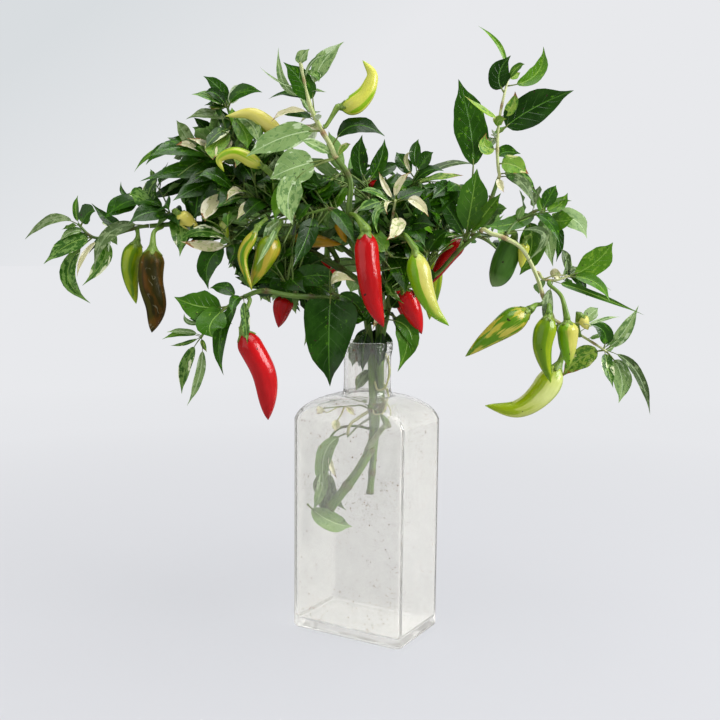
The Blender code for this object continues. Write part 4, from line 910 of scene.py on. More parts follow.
def leaf_finish(name, deep, light, fleck, cream, rib, fleck_share, cream_share, roughness, scorch=0.0,
                rib_strength=0.8):
    """A living leaf: waxy skin over green tissue, paler veins, and flecks where the tissue lacks green.

    deep and light are the tissue's two greens, fleck and cream the two steps of the variegation with
    the share of the blade that each covers, scorch the share of the tip that is dried brown.
    Veins leave the rib about every 5 mm; the flecks are 1 to 4 mm across.
    """
    finish, node = new_finish(name)
    place, share = carried(node)
    across, along, tone = node("SeparateXYZ", (share,)).node.outputs
    out = node("Math", (across,), "ABSOLUTE")
    clouds = stretched(node, place, (1.0, 0.7, 1.0), 0.11, 3.0)
    mood = node("Math", (node("MapRange", (clouds, 0.3, 0.7, -0.35, 0.35)), tone), "ADD")
    colour = laid_over(node, linear(deep), light, mood, 0.0, 1.0)

    patches = stretched(node, place, (1.0, 0.55, 1.0), 0.42, 4.0, 0.62)
    patches = node("Math", (patches, node("MapRange", (tone, 0.0, 1.0, -0.05, 0.05))), "ADD")
    edge = NOISE_MIDDLE - 0.3 * fleck_share
    colour = laid_over(node, colour, fleck, patches, edge - 0.015, edge + 0.03)
    if cream_share > 0:
        broad = stretched(node, place, (1.0, 0.4, 1.0), 0.2, 4.0, 0.6)
        rimward = node("Math", (broad, node("MapRange", (out, 0.3, 1.0, -0.04, 0.07))), "ADD")
        edge = NOISE_MIDDLE - 0.3 * cream_share
        colour = laid_over(node, colour, cream, rimward, edge - 0.01, edge + 0.02)

    slant = node("Math", (along, node("Math", (out, 0.24), "MULTIPLY")), "SUBTRACT")
    phase = node("Math", (slant, 7.0), "MULTIPLY")
    phase = node("Math", (phase, node("MapRange", (across, -0.01, 0.01, 0.0, 0.5))), "ADD")
    vein = node("MapRange", (node("Math", (phase, 0.5), "PINGPONG"), 0.0, 0.055, 1.0, 0.0))
    vein = node("Math", (vein, node("MapRange", (out, 0.2, 0.95, 1.0, 0.0))), "MULTIPLY")
    mm_across = node("Math", (node("SeparateXYZ", (place,)),), "ABSOLUTE")
    ribs = node("MapRange", (mm_across, 0.16, 0.5, 1.0, 0.0))
    ribs = node("Math", (ribs, node("MapRange", (along, 0.55, 1.0, 1.0, 0.15))), "MULTIPLY")
    for lines, strength in ((vein, 0.3 * rib_strength), (ribs, rib_strength)):
        colour = node("Mix", (node("Math", (lines, strength), "MULTIPLY"), colour, linear(rib)), COLOURS)

    if scorch > 0:
        wander = node("MapRange", (stretched(node, place, (1, 1, 1), 0.3), 0.3, 0.7, -0.25, 0.25))
        ragged = node("Math", (along, wander), "ADD")
        ragged = node("Math", (ragged, node("MapRange", (out, 0.4, 1.0, -0.1, 0.12))), "ADD")
        colour = laid_over(node, colour, "#8A5A2C", ragged, 1.06 - scorch, 1.12 - scorch)
    specks = stretched(node, place, (1, 1, 1), 0.5, 0.0)
    colour = laid_over(node, colour, "#30201A", specks, 0.8, 0.81, 0.0, 0.85)
    blister = node("Math", (stretched(node, place, (1, 1, 1), 0.35), 0.35), "MULTIPLY")
    groove = node("Math", (node("Math", (ribs, vein), "MAXIMUM"), -0.5), "MULTIPLY")
    bump = node("Bump", {"Height": node("Math", (blister, groove), "ADD"), "Strength": 0.55,
                         "Distance": 0.0006})
    gloss = node("MapRange", (clouds, 0.3, 0.7, roughness - 0.07, roughness + 0.07))
    node("OutputMaterial", (node("BsdfPrincipled", {
        "Base Color": colour, "Roughness": gloss, "Normal": bump, "Specular IOR Level": 0.34}),))
    return finish


def stem_finish(name, fresh, pale, joint, roughness=0.5):
    """Green stem: a ribbed, finely streaked skin, darker and browner at its joints.

    Ribs are about 1.5 mm apart and the streaks 0.4 mm wide.  share.z says how near a joint is.
    """
    finish, node = new_finish(name)
    place, share = carried(node)
    near = node("SeparateXYZ", (share,)).node.outputs["Z"]
    streaks = stretched(node, place, (1.0, 1.0, 0.05), 0.9, 3.0, 0.6)
    patches = stretched(node, place, (0.6, 0.6, 0.25), 0.2)
    colour = laid_over(node, linear(fresh), pale, streaks, 0.38, 0.62)
    colour = laid_over(node, colour, pale, patches, 0.58, 0.72, 0.0, 0.5)
    brown = node("Math", (near, node("MapRange", (patches, 0.3, 0.6, 0.3, 1.0))), "MULTIPLY")
    colour = node("Mix", (brown, colour, linear(joint)), COLOURS)
    bump = node("Bump", {"Height": streaks, "Strength": 0.5, "Distance": 0.0005})
    node("OutputMaterial", (node("BsdfPrincipled", {
        "Base Color": colour, "Normal": bump, "Roughness": roughness}),))
    return finish


def pepper_finish(name, body, second, band, band_share, shoulder, tip, roughness, streak, blush=0.0,
                  tip_from=0.82, shade=0.0, scuff=0.0):
    """A ripening pepper: tight glossy skin with green bands that run from calyx to tip.

    The coat is the skin's wax, thinner on a dull skin.  Bands are about 5 mm wide and broken, and 3 mm
    where they cover most of the skin; finer streaks are 1 mm.  shade adds bands on the side that faces
    away from the across direction, and scuff draws thin pale scratches.  share.y runs from shoulder to tip.
    """
    finish, node = new_finish(name)
    place, share = carried(node)
    along = node("SeparateXYZ", (share,)).node.outputs["Y"]
    clouds = stretched(node, place, (1.0, 1.0, 0.35), 0.09, 3.0)
    colour = laid_over(node, linear(body), second, clouds, 0.35, 0.65)
    if band_share > 0:
        bands = stretched(node, place, (1.0, 1.0, 0.05), 0.15 if band_share < 0.5 else 0.27)
        if shade > 0:
            normal = node("NewGeometry").node.outputs["Normal"]
            facing = node("VectorMath", (normal, tuple(ACROSS)), "DOT_PRODUCT")
            bands = node("Math", (bands, node("MapRange", (facing, -1.0, 1.0, shade, -shade))), "ADD")
        edge = NOISE_MIDDLE - 0.32 * band_share
        colour = laid_over(node, colour, band, bands, edge - 0.025, edge + 0.035)
    fine = stretched(node, place, (1.0, 1.0, 0.07), 0.55, 3.0, 0.6)
    colour = laid_over(node, colour, band, fine, 0.45, 0.75, 0.0, streak)
    colour = laid_over(node, colour, shoulder, along, 0.02, 0.2, 0.75, 0.0)
    # The tip's colour; on the dark pepper this pale tip is a painted highlight over its lower end.
    colour = laid_over(node, colour, tip, along, tip_from, 1.0, 0.0, 0.9)
    if blush > 0:
        broad = stretched(node, place, (1.0, 1.0, 0.3), 0.16)
        colour = laid_over(node, colour, "#7E4A06", broad, 0.5, 0.68, 0.0, blush)
    if scuff > 0:
        ways = node("Math", (stretched(node, place, (1.0, 0.7, 0.6), 0.1), 0.5), "SUBTRACT")
        lines = node("MapRange", (node("Math", (ways,), "ABSOLUTE"), 0.0, 0.008, 1.0, 0.0))
        worn = node("MapRange", (stretched(node, place, (1, 1, 1), 0.13), 0.5, 0.56, 0.0, scuff))
        colour = node("Mix", (node("Math", (lines, worn), "MULTIPLY"), colour, linear("#8E8A6E")), COLOURS)
    specks = stretched(node, place, (1, 1, 1), 0.28, 0.0)
    colour = laid_over(node, colour, "#2A1A12", specks, 0.83, 0.84, 0.0, 0.9)
    bump = node("Bump", {"Height": stretched(node, place, (1, 1, 0.6), 0.26, 3.0), "Strength": 0.4,
                         "Distance": 0.0012})
    waxy = roughness < 0.4
    node("OutputMaterial", (node("BsdfPrincipled", {
        "Base Color": colour, "Normal": bump, "Coat Normal": bump, "Roughness": roughness,
        "Coat Weight": 0.4 if waxy else 0.05, "Coat Roughness": 0.16,
        "Specular IOR Level": 0.25 if waxy else 0.14}),))
    return finish


def glass_finish():
    """Moulded soda-lime glass: clear, a little wavy, with a thin warm film of dried water and dirt specks.

    The waves are about 25 mm long, the film's clouds 20 mm, the specks 1 mm.  Lamps shine through it,
    and light that has met the walls more than five times goes straight on, so that the edges stay clear.
    """
    finish, node = new_finish("clear_moulded_glass")
    spot = node("TexCoord").node.outputs["Object"]
    waves = stretched(node, spot, (1.0, 1.0, 0.6), 42.0, 1.0)
    clouds = stretched(node, spot, (1.0, 1.0, 1.0), 55.0, 4.0)
    grit = stretched(node, spot, (1.0, 1.0, 1.0), 650.0, 1.0)
    low = node("SeparateXYZ", (spot,)).node.outputs["Z"]
    bump = node("Bump", {"Height": waves, "Strength": 0.25, "Distance": 0.0015})
    glass = node("BsdfPrincipled", {"Base Color": linear("#FCFBF8"), "Roughness": 0.02, "IOR": 1.5,
                                    "Transmission Weight": 1.0, "Normal": bump})
    dirt = laid_over(node, linear("#E4E3DE"), "#7A5630", grit, 0.69, 0.71)
    film = node("BsdfPrincipled", {"Roughness": 0.8, "Base Color": dirt})
    steamed = node("MapRange", (low, 0.15, 0.175, 0.06, 0.0))
    haze = node("Math", (node("MapRange", (clouds, 0.3, 0.75, 0.02, 0.1)), steamed), "ADD")
    specks = node("Math", (node("MapRange", (grit, 0.71, 0.73, 0.0, 0.8)),
                           node("MapRange", (clouds, 0.5, 0.56, 0.0, 1.0))), "MULTIPLY")
    weight = node("Math", (node("Math", (haze, specks), "MAXIMUM"),
                           node("MapRange", (low, 0.0, 0.03, 0.05, 0.0))), "ADD")
    skin = node("MixShader", (weight, glass, film))
    clear = node("BsdfTransparent", {"Color": (0.94, 0.945, 0.94, 1.0)})
    path = node("LightPath").node.outputs
    spent = node("Math", (path["Ray Depth"], 5.5), "GREATER_THAN")
    straight = node("Math", (path["Is Shadow Ray"], spent), "MAXIMUM")
    node("OutputMaterial", (node("MixShader", (straight, skin, clear)),))
    return finish


# ================================================================ bottle
def outline(half_width, half_depth, corner, roundness, height):
    """Points round a rectangle with round corners that turns into a circle.

    p = (1 - k) * rectangle + k * circle at each step, with k the roundness and the circle's radius
    the half width.  Each flat side has a point just in from each corner, so that it stays flat.
    """
    arc = np.radians(np.linspace(0.0, 90.0, CORNER_POINTS))
    rings = []
    for quarter in range(4):
        turn = math.radians(90.0 * quarter)
        middle = np.array([(half_width - corner) * (1, -1, -1, 1)[quarter],
                           (half_depth - corner) * (1, 1, -1, -1)[quarter]])
        bow = middle + corner * np.stack([np.cos(arc + turn), np.sin(arc + turn)], axis=1)
        after = np.array([(-1, 0, 1, 0)[quarter], (0, -1, 0, 1)[quarter]])
        run = 2 * ((half_width, half_depth)[quarter % 2] - corner)
        steps = np.array([FLAT_MARGIN, run / 2, run - FLAT_MARGIN])[:, None]
        rings += [bow, bow[-1] + after * steps]
    square = np.concatenate(rings)
    count = len(square) // 4
    angle = np.radians(90.0 * (np.arange(4 * count) + 2) / count)
    circle = half_width * np.stack([np.cos(angle), np.sin(angle)], axis=1)
    flat = square * (1 - roundness) + circle * roundness
    return np.column_stack([flat, np.full(len(flat), height)]) * MM


def add_walls(skin, walls, ends, slot=0, places=None, shares=None):
    """One closed skin of rings (n, m) with a point at each end."""
    rings, sides, _ = walls.shape
    points = np.concatenate([ends, walls.reshape(-1, 3)])
    quads, tris = tube_faces(rings, sides)
    blank = np.zeros_like(points)
    skin.add(points, quads, tris, slot, slot, blank if places is None else places,
             blank if shares is None else shares)


def bottle_rings():
    """Rings from the foot up the outside, over the lip and down the inside to the floor."""
    half_width, half_depth = BOTTLE_WIDTH / 2, BOTTLE_DEPTH / 2
    wall, foot = BOTTLE_WALL, FOOT_ROUNDING
    neck_in = NECK_RADIUS - wall
    collar_foot = BOTTLE_HEIGHT - COLLAR_HEIGHT
    inner_corner = BOTTLE_CORNER - wall
    flare, rise, inner_lip = NECK_ROOT_RADIUS - NECK_RADIUS, NECK_START - SHOULDER_TOP, LIP_ROUNDING * 0.6
    turns = [(1 - math.sin(a), 1 - math.cos(a)) for a in np.linspace(0.0, math.pi / 2, 6)]
    shoulder = np.linspace(0.0, math.pi / 2, SHOULDER_STEPS)

    def body(inset, corner, height):
        return outline(half_width - inset, half_depth - inset, corner, 0.0, height)

    def circle(radius, height):
        return outline(radius, radius, radius * 0.5, 1.0, height)

    def bend(angle, inset, corner, start, top):
        inward = 1 - math.cos(angle)
        lean = math.cos(SHOULDER_LEAN)
        leaned = SHOULDER_LEAN + angle * (math.pi / 2 - SHOULDER_LEAN) / (math.pi / 2)
        crease = (lean - math.cos(leaned)) / lean
        width = (half_width - inset) * (1 - crease) + (NECK_ROOT_RADIUS - inset) * crease
        depth = (half_depth - inset) * (1 - inward) + (NECK_ROOT_RADIUS - inset) * inward
        tight = corner * (1 - inward) + (NECK_ROOT_RADIUS - inset) * inward * 0.8
        height = start + (top - start) * math.sin(angle)
        return outline(width, depth, min(tight, depth - 1.0), inward ** 1.5, height)

    rings = [body(foot + 9.0, 1.0, 0.0), body(foot + 0.6, BOTTLE_CORNER, 0.0)]
    rings += [body(foot * s, BOTTLE_CORNER, foot * c) for s, c in turns]
    rings += [body(0.0, BOTTLE_CORNER, height) for height in (4.0, *WALL_HEIGHTS, SHOULDER_START - 1.0)]
    rings += [bend(a, 0.0, BOTTLE_CORNER, SHOULDER_START, SHOULDER_TOP) for a in shoulder]
    rings += [circle(NECK_RADIUS + flare * s, SHOULDER_TOP + rise * c) for s, c in turns[1:]]
    rings += [circle(NECK_RADIUS, height) for height in (180.0, collar_foot - 0.8, collar_foot)]
    rings += [circle(NECK_RADIUS + 0.6, collar_foot + 0.15), circle(COLLAR_RADIUS - 0.1, collar_foot + 0.6),
              circle(COLLAR_RADIUS, collar_foot + 1.2), circle(COLLAR_RADIUS, BOTTLE_HEIGHT - 3.4),
              circle(COLLAR_RADIUS - 0.5, BOTTLE_HEIGHT - 3.0), circle(COLLAR_RADIUS, BOTTLE_HEIGHT - 2.6),
              circle(COLLAR_RADIUS, BOTTLE_HEIGHT - LIP_ROUNDING)]
    rings += [circle(COLLAR_RADIUS - LIP_ROUNDING * c, BOTTLE_HEIGHT - LIP_ROUNDING * s)
              for s, c in turns[1:]]
    rings += [circle(neck_in + inner_lip * s, BOTTLE_HEIGHT - inner_lip * c) for s, c in turns]
    rings += [circle(neck_in, height) for height in (BOTTLE_HEIGHT - 3.0, 190.0, NECK_START + 1.0)]
    rings += [circle(neck_in + flare * s, INNER_SHOULDER_TOP + rise * c) for s, c in turns[::-1]]
    rings += [bend(a, wall, inner_corner, SHOULDER_START - 1.0, INNER_SHOULDER_TOP) for a in shoulder[-2::-1]]
    rings += [body(wall, inner_corner, height)
              for height in (SHOULDER_START - 2.0, *WALL_HEIGHTS[::-1], BOTTLE_FLOOR + foot + 1.0)]
    rings += [body(wall + foot * c, inner_corner, BOTTLE_FLOOR + foot * s) for s, c in turns]
    rings += [body(wall + foot + 8.0, 1.0, BOTTLE_FLOOR)]
    return np.array(rings)


# ================================================================ stems
def joints_along(length, seed):
    """Where the joints of a stem lie, as shares of it, a little uneven."""
    count = max(1, int(round(length / (JOINT_SPACING * MM))))
    steps = (np.arange(count) + 0.55) / count
    return steps + 0.12 / count * np.sin(seed * 7.0 + np.arange(count) * 2.4)


def add_stem(skin, limb, sides, slot, seed):
    """A ribbed stem: radius (foot to tip) * (1 + 0.055 cos 5a + 0.02 sin (40s + 2a) + 0.2 n).

    n is e^-(d / w)^2 at d mm from a joint of width w, and nearly so at the foot.
    """
    rings = max(6, int(limb.length / (RING_STEP * MM)))
    route = spaced(limb.route, rings)
    share = np.linspace(0.0, 1.0, rings)
    away = (share[:, None] - joints_along(limb.length, seed)) * limb.length / MM
    near = np.exp(-(away / JOINT_WIDTH) ** 2).max(axis=1)
    near = np.maximum(near, np.exp(-(share * limb.length / MM / 2.5) ** 2) * 0.8)
    angle = 2 * math.pi * np.arange(sides) / sides
    relief = 1 + 0.055 * np.cos(5 * angle + seed)[None] + 0.02 * np.sin(share[:, None] * 40 + 2 * angle)
    relief = relief + 0.2 * near[:, None]
    radii = limb.foot_radius + (limb.tip_radius - limb.foot_radius) * share
    add_tubes(skin, route[None], radii[None], sides, slot, tone=near, seed=seed, relief=relief)


def add_stub(skin, limb, share, heading, length, radius, slot, seed):
    """A short broken leaf stalk on a joint."""
    point, along, _ = limb.at(share)
    way = unit(aside(along, heading) + along * 0.7)
    bends = np.array([point, point + way * length * 0.5, point + way * length + UP * 0.3 * MM])
    route, radii = spaced(smooth(bends, 3), 6), np.linspace(radius, radius * 0.7, 6)
    add_tubes(skin, route[None], radii[None], 7, slot, tone=0.7, seed=seed)


# ================================================================ peppers
def body_radius(share, width, fullness):
    """w/2 * sin(pi/2 min(1, (s + 0.03) / r))^0.6 * (1 - s^f)^0.8, with the shoulder's r = 0.06 + 0.45 / f."""
    rise = np.sin(math.pi / 2 * np.minimum(1.0, (share + 0.03) / (0.06 + 0.45 / fullness))) ** 0.6
    return width / 2 * rise * np.maximum(0.02, 1 - share ** fullness) ** 0.8


def add_pepper(skin, stalk, body, width, fullness, seed, stout=1.0):
    """A pepper on its stalk: body in slot 0, and calyx and stalk in slot 1.

    The body's radius is scaled by 1 + 0.03 sin(2a + 4s) + 0.02 sin(3a - 5s) + 0.02 sin(5a) (1 - s),
    with longer waves along it.  The calyx is a cap over the shoulder whose rim has five teeth.
    """
    even = np.linspace(0.0, 1.0, PEPPER_RINGS)
    share = 0.6 * (0.5 - 0.5 * np.cos(even * math.pi)) + 0.4 * even
    shares, length = shares_of(body)
    route = np.stack([np.interp(share, shares, body[:, k]) for k in range(3)], axis=1)
    s, a = share[:, None], 2 * math.pi * np.arange(PEPPER_SIDES)[None] / PEPPER_SIDES
    relief = (1 + 0.03 * np.sin(2 * a + 4 * s + seed) + 0.02 * np.sin(3 * a - 5 * s + seed * 2)
              + 0.02 * np.sin(5 * a + seed) * (1 - s) + 0.02 * np.sin(11 * s + seed * 3 + a))
    radii = body_radius(share, width, fullness)
    radii[0] *= 0.55
    walls = add_tubes(skin, route[None], radii[None], PEPPER_SIDES, 0, seed=seed, relief=relief)[0]

    along = unit(route[2] - route[0])
    side = unit(walls[3, 0] - route[3])
    side = unit(side - along * (side @ along))
    lift = np.cross(along, side)
    around = 2 * math.pi * np.arange(CALYX_SIDES) / CALYX_SIDES
    k = np.linspace(0.0, 1.0, CALYX_RINGS)[:, None]
    before = np.clip(length * 0.09, 2.6 * MM, 5.5 * MM)
    reach = np.clip(length * 0.03, 1.0 * MM, 1.9 * MM)
    depth = -before + (before + reach) * k * (1 + 0.24 * np.cos(5 * around + seed)[None] * k ** 3)
    lip = np.interp(np.maximum(depth, 0.0) / length, share, body_radius(share, width, fullness)) + 0.3 * MM
    neck_radius = STALK_RADIUS * 1.3 * stout * MM
    flare = np.clip((depth + before) / before, 0.0, 1.0) ** 1.2
    spread = np.where(depth < 0, neck_radius + (lip[0] - neck_radius) * flare, lip)
    spread = spread * (1 + 0.05 * np.cos(5 * around + seed)[None] * np.clip(k * 2, 0, 1))
    depth = np.vstack([depth, depth[-1:]])
    spread = np.vstack([spread, spread[-1:] * 0.8])
    ring = np.cos(around)[:, None] * side + np.sin(around)[:, None] * lift
    cap = route[0] + depth[..., None] * along + spread[..., None] * ring
    places = np.zeros((2 + len(cap) * CALYX_SIDES, 3))
    places[2:, 0] = (spread * np.cos(around)).ravel() / MM
    places[2:, 1] = (spread * np.sin(around)).ravel() / MM
    places[2:, 2] = depth.ravel() / MM + seed * 100
    ends = np.stack([route[0] - along * before, route[0] + along * depth[-1].mean()])
    caps = np.zeros_like(places)
    caps[2:, 2] = np.repeat([0.15] * (CALYX_RINGS - 2) + [0.5] * 3, CALYX_SIDES)
    add_walls(skin, cap, ends, 1, places, caps)

    count = max(8, int(shares_of(stalk)[1] / (1.3 * MM)))
    route = spaced(stalk, count)
    swell = STALK_RADIUS * MM * (1 + 0.25 * np.exp(-np.arange(count) / 1.2))
    swell = swell * (1 + (1.9 * stout - 1) * np.linspace(0, 1, count) ** (4.5 - 1.5 * stout))
    turn = 2 * math.pi * np.arange(STALK_SIDES) / STALK_SIDES
    ridges = 1 + 0.07 * np.cos(5 * turn + seed)[None] * np.ones((count, 1))
    add_tubes(skin, route[None], swell[None], STALK_SIDES, 1, tone=0.1, seed=seed, relief=ridges)


# ================================================================ foliage
def camera_axes():
    """Right, up and forward of the camera: level axes pitched down, yawed, then rolled."""
    forward = BACK * math.cos(CAMERA_PITCH) - UP * math.sin(CAMERA_PITCH)
    upward = BACK * math.sin(CAMERA_PITCH) + UP * math.cos(CAMERA_PITCH)
    right = ACROSS * math.cos(CAMERA_YAW) + forward * math.sin(CAMERA_YAW)
    forward = forward * math.cos(CAMERA_YAW) - ACROSS * math.sin(CAMERA_YAW)
    return (right * math.cos(CAMERA_ROLL) + upward * math.sin(CAMERA_ROLL),
            upward * math.cos(CAMERA_ROLL) - right * math.sin(CAMERA_ROLL), forward)


def laid_out(points):
    """How points lie before the viewer: across and up as slopes of the view, and the distance."""
    right, upward, forward = camera_axes()
    gap = points - bouquet(CAMERA_SPOT)
    far = gap @ forward
    return (gap @ right) / far, (gap @ upward) / far, far


class Guard:
    """The fruit and leading leaves that leaves grown by the rule keep clear of and don't cover."""

    def __init__(self):
        self.points, self.radii, self.solid = [], [], []

    def add(self, points, radius, solid):
        self.points.append(points)
        self.radii.append(np.full(len(points), radius))
        self.solid.append(np.full(len(points), solid))

    def close(self):
        self.points, self.radii, self.solid = map(np.concatenate, (self.points, self.radii, self.solid))
        self.right, self.up, self.far = laid_out(self.points)

    def allows(self, samples, margin):
        """True when the samples of a leaf neither touch fruit nor stand before what leads."""
        gap = np.linalg.norm(samples[:, None] - self.points[None], axis=-1)
        if (gap[:, self.solid] < self.radii[self.solid] + margin).any():
            return False
        right, up, far = laid_out(samples)
        apart = np.hypot(right[:, None] - self.right, up[:, None] - self.up) * self.far
        return not ((apart < self.radii + margin) & (far[:, None] < self.far - 1.0 * MM)).any()


def in_crown(points, slack=1.0):
    """Whether each point lies in one of the crown's rounds: sum ((p - middle) / half size)^2 < 1."""
    spots = points @ np.array([ACROSS, BACK, UP]).T / MM
    return np.any([np.sum(((spots - np.array(middle)) / (np.array(size) * slack)) ** 2, axis=-1) < 1.0
                   for middle, size in CROWN], axis=0)


def clear_of_bottle(points):
    """Whether points keep off the bottle: outside its neck and above its shoulders."""
    out = np.hypot(points[:, 0], points[:, 1])
    beside_neck = (points[:, 2] < NECK_ROOM_TOP * MM) & (out < NECK_ROOM * MM)
    return not (beside_neck | (points[:, 2] < SHOULDER_ROOM * MM)).any()


class Spray:
    """One mass of foliage: a stem from its bough, side twigs, and leaves round them."""

    def __init__(self, name, limbs):
        (parent, share, radius, route, self.paleness, self.fill, self.leaf_length, self.kinds,
         self.leads) = SPRAYS[name]
        self.name = name
        self.random = np.random.default_rng(sum(map(ord, name)))
        curve = rooted_route(limbs[parent], share, bouquet(route), 6)
        self.twig = Limb(curve, radius * MM, radius * 0.7 * MM)
        self.twigs = [self.twig]
        self.leading, self.filling = [], []

    def lead(self, guard, scale):
        """The leaves that lead the outline."""
        for share, tip, width, kind, turn, bend, *habit in self.leads:
            root = self.twig.at(min(share, 0.97))[0]
            end = bouquet(tip)
            turn = math.radians(turn)
            hint = UP * math.cos(turn) + VIEWER * math.sin(turn)
            bow = bouquet(bend) / 0.75
            late = bow * self.random.uniform(0.75, 1.25)
            long = np.linalg.norm(end - root)
            full = 0.42 if width > BROAD_LEAF else 0.52 if width > MIDDLING_LEAF else 0.62
            petiole = float(np.clip(0.16 - 0.08 * width * MM / long, 0.06, 0.16))
            petiole = 0.06 if width > BROAD_LEAF else petiole
            if habit:
                petiole, full = habit[0], habit[1] if len(habit) > 1 else full
            fold = self.random.uniform(0.05, 0.3) if width > 8 else None
            wave = self.random.uniform(0.03, 0.12)
            self.leading.append(leaf_row(root, end, bow, late, hint, width * MM * 1.06 * scale, kind,
                                         self.random, petiole, full, fold, wave))
            samples, _ = bezier((root[None], (root + (end - root) / 3 + bow)[None],
                                 (root + (end - root) * 2 / 3 + late)[None], end[None]),
                                np.array([[0.2, 0.4, 0.6, 0.8]]))
            guard.add(samples[0], width * MM * 0.36, False)

    def side_twigs(self):
        """Side twigs that leave the stem by the golden angle, each shorter towards the tip."""
        count = int(round(self.fill / LEAVES_TO_A_TWIG))
        free = self.name in FREE_SPRAYS
        for number in range(count * 2):
            if len(self.twigs) > count:
                break
            share = 0.15 + 0.8 * (number + 0.5) / (count * 2)
            root, along, radius = self.twig.at(share)
            way = aside(along, number * GOLDEN_ANGLE + self.random.uniform(-0.4, 0.4))
            way = unit(way * 0.9 + along * 0.55 + UP * 0.15)
            long = self.leaf_length * self.random.uniform(0.8, 1.35) * MM * (1.15 - 0.4 * share)
            tip = root + way * long
            if not (free or in_crown(tip[None], 0.95)[0]) or not clear_of_bottle(tip[None]):
                continue
            middle = root + (tip - root) * 0.5 + UP * 1.5 * MM
            route = smooth(np.array([root, middle, tip - UP * 1.0 * MM]), 5)
            self.twigs.append(Limb(route, radius * 0.6, radius * 0.4))

    def fill_in(self, guard, amount):
        """Leaves round the twigs by the golden angle, each drooping a little, clear of what leads."""
        wanted = int(round(self.fill * amount))
        number, middle = 0, bouquet((-10.0, 20.0, 262.0))
        free = self.name in FREE_SPRAYS
        while len(self.filling) < wanted and number < wanted * TRIES:
            number += 1
            twig = self.twigs[number % len(self.twigs)]
            last = number % 3 == 0
            share = 0.98 if last else float(self.random.uniform(0.25, 0.95))
            root, along, _ = twig.at(share)
            outward = aside(along, number * GOLDEN_ANGLE + self.random.uniform(-0.4, 0.4))
            way = outward + along * self.random.uniform(0.3, 1.1) - UP * self.random.uniform(0.0, 0.5)
            long = self.leaf_length * self.random.uniform(0.6, 1.25) * MM * (0.75 if last else 1.0)
            tip = root + unit(way) * long
            away = unit((root - middle) * np.array([1.0, 1.0, 0.4]))
            hint = unit(UP * 0.7 + away * self.random.uniform(0.2, 1.3) + self.random.normal(0, 0.3, 3))
            width = long * self.random.uniform(0.4, 0.54)
            bow = hint * long * self.random.uniform(0.04, 0.2)
            samples = (root + (tip - root) * np.array([0.45, 0.75, 1.0])[:, None]
                       + bow * np.array([1, 0.6, 0])[:, None])
            kind = self.kinds[int(self.random.integers(len(self.kinds)))]
            if not (free or in_crown(samples).all()) or not clear_of_bottle(samples):
                continue
            facing = abs(unit(np.cross(tip - root, hint)) @ np.cross(unit(tip - root), VIEWER))
            if facing < LEAST_FACING and self.random.uniform() < EDGE_ON_DROPPED:
                continue
            if not guard.allows(samples, width * 0.3):
                continue
            late = bow * self.random.uniform(0.2, 1.1)
            self.filling.append(leaf_row(root, tip, bow, late, hint, width, kind, self.random, petiole=0.14))


# ================================================================ what a user may change
def setting(name, words, default, **limits):
    """A number's setting."""
    return bpy.props.FloatProperty(name=name, description=words, default=default, **limits)


def colour_setting(name, words, code):
    """A colour's setting, with its default given as sRGB hex."""
    return bpy.props.FloatVectorProperty(name=name, description=words, default=linear(code)[:3], size=3,
                                         subtype="COLOR", min=0.0, max=1.0)


SHARE = {"min": 0.0, "max": 1.0, "subtype": "FACTOR"}
POWER = {"min": 0.0, "unit": "POWER"}


class ChilliFoliageSettings(bpy.types.PropertyGroup):
    fullness: setting("Fullness", "How many leaves grow between the leading ones", 1.0, min=0.0, max=2.0,
                      subtype="FACTOR")
    leaf_scale: setting("Leaf width", "Width of the leading leaves against their design", 1.0,
                        min=0.5, max=1.5, subtype="FACTOR")


class ChilliStageSettings(bpy.types.PropertyGroup):
    backdrop: colour_setting("Backdrop", "Colour of the air round the bottle", "#E8E9EC")
    floor: colour_setting("Floor", "Colour of the floor near the bottle", "#D9DADE")
    near_light: setting("Light from the viewer", "Strength of the air on the viewer's side", 0.36, **SHARE)
    mirrored_light: setting("Mirrored air", "Strength of the air as shiny skins mirror it", 0.12, **SHARE)
    key_power: setting("Key lamp", "Power of the large lamp on the right", 13.0, **POWER)
    fill_power: setting("Fill lamp", "Power of the lamp on the left", 3.5, **POWER)
    top_power: setting("Top lamp", "Power of the lamp overhead", 7.0, **POWER)
    lens: setting("Lens", "Focal length on a 36 mm wide picture", CAMERA_LENS, min=10.0,
                  subtype="DISTANCE_CAMERA")


# name: the tissue's two greens, fleck, cream, rib, shares of fleck and cream, roughness, and, where
# they are not the usual ones, the share of the tip that is dried and the rib's strength.
# In the order of KINDS, then the two undersides.
LEAF_LOOKS = {
    "leaf_dark_glossy": ("#123002", "#265002", "#42700A", "#C9D09A", "#4C7C1E", 0.1, 0.0, 0.27),
    "leaf_mid_green": ("#305C02", "#4C7C0A", "#6A9224", "#C9D09A", "#7CA43A", 0.2, 0.0, 0.33),
    "leaf_variegated": ("#1E4402", "#305E06", "#64883A", "#D2D8AE", "#76983E", 0.44, 0.12, 0.34),
    "leaf_cream": ("#B6B284", "#CEC8A2", "#9AA664", "#D8D4B6", "#BABE8A", 0.3, 0.4, 0.5, 0.24, 0.5),
    "leaf_pale": ("#6A8848", "#88A262", "#56783A", "#A4B88C", "#B2C896", 0.42, 0.16, 0.5, 0.0, 0.7),
    "leaf_lime": ("#66901E", "#8AA63A", "#4A7A14", "#B8BE78", "#A6B860", 0.42, 0.12, 0.48, 0.22, 0.5),
    "leaf_dull": ("#384E22", "#526A34", "#76885A", "#A9B898", "#82986A", 0.4, 0.0, 0.42),
    "leaf_underside": ("#5E8838", "#769C4C", "#84A65C", "#B9C69A", "#9AB676", 0.3, 0.0, 0.6),
    "leaf_underside_pale": ("#AFC09C", "#C6D2B2", "#A2B88C", "#D8DEC6", "#D2DCBE", 0.3, 0.2, 0.62),
}
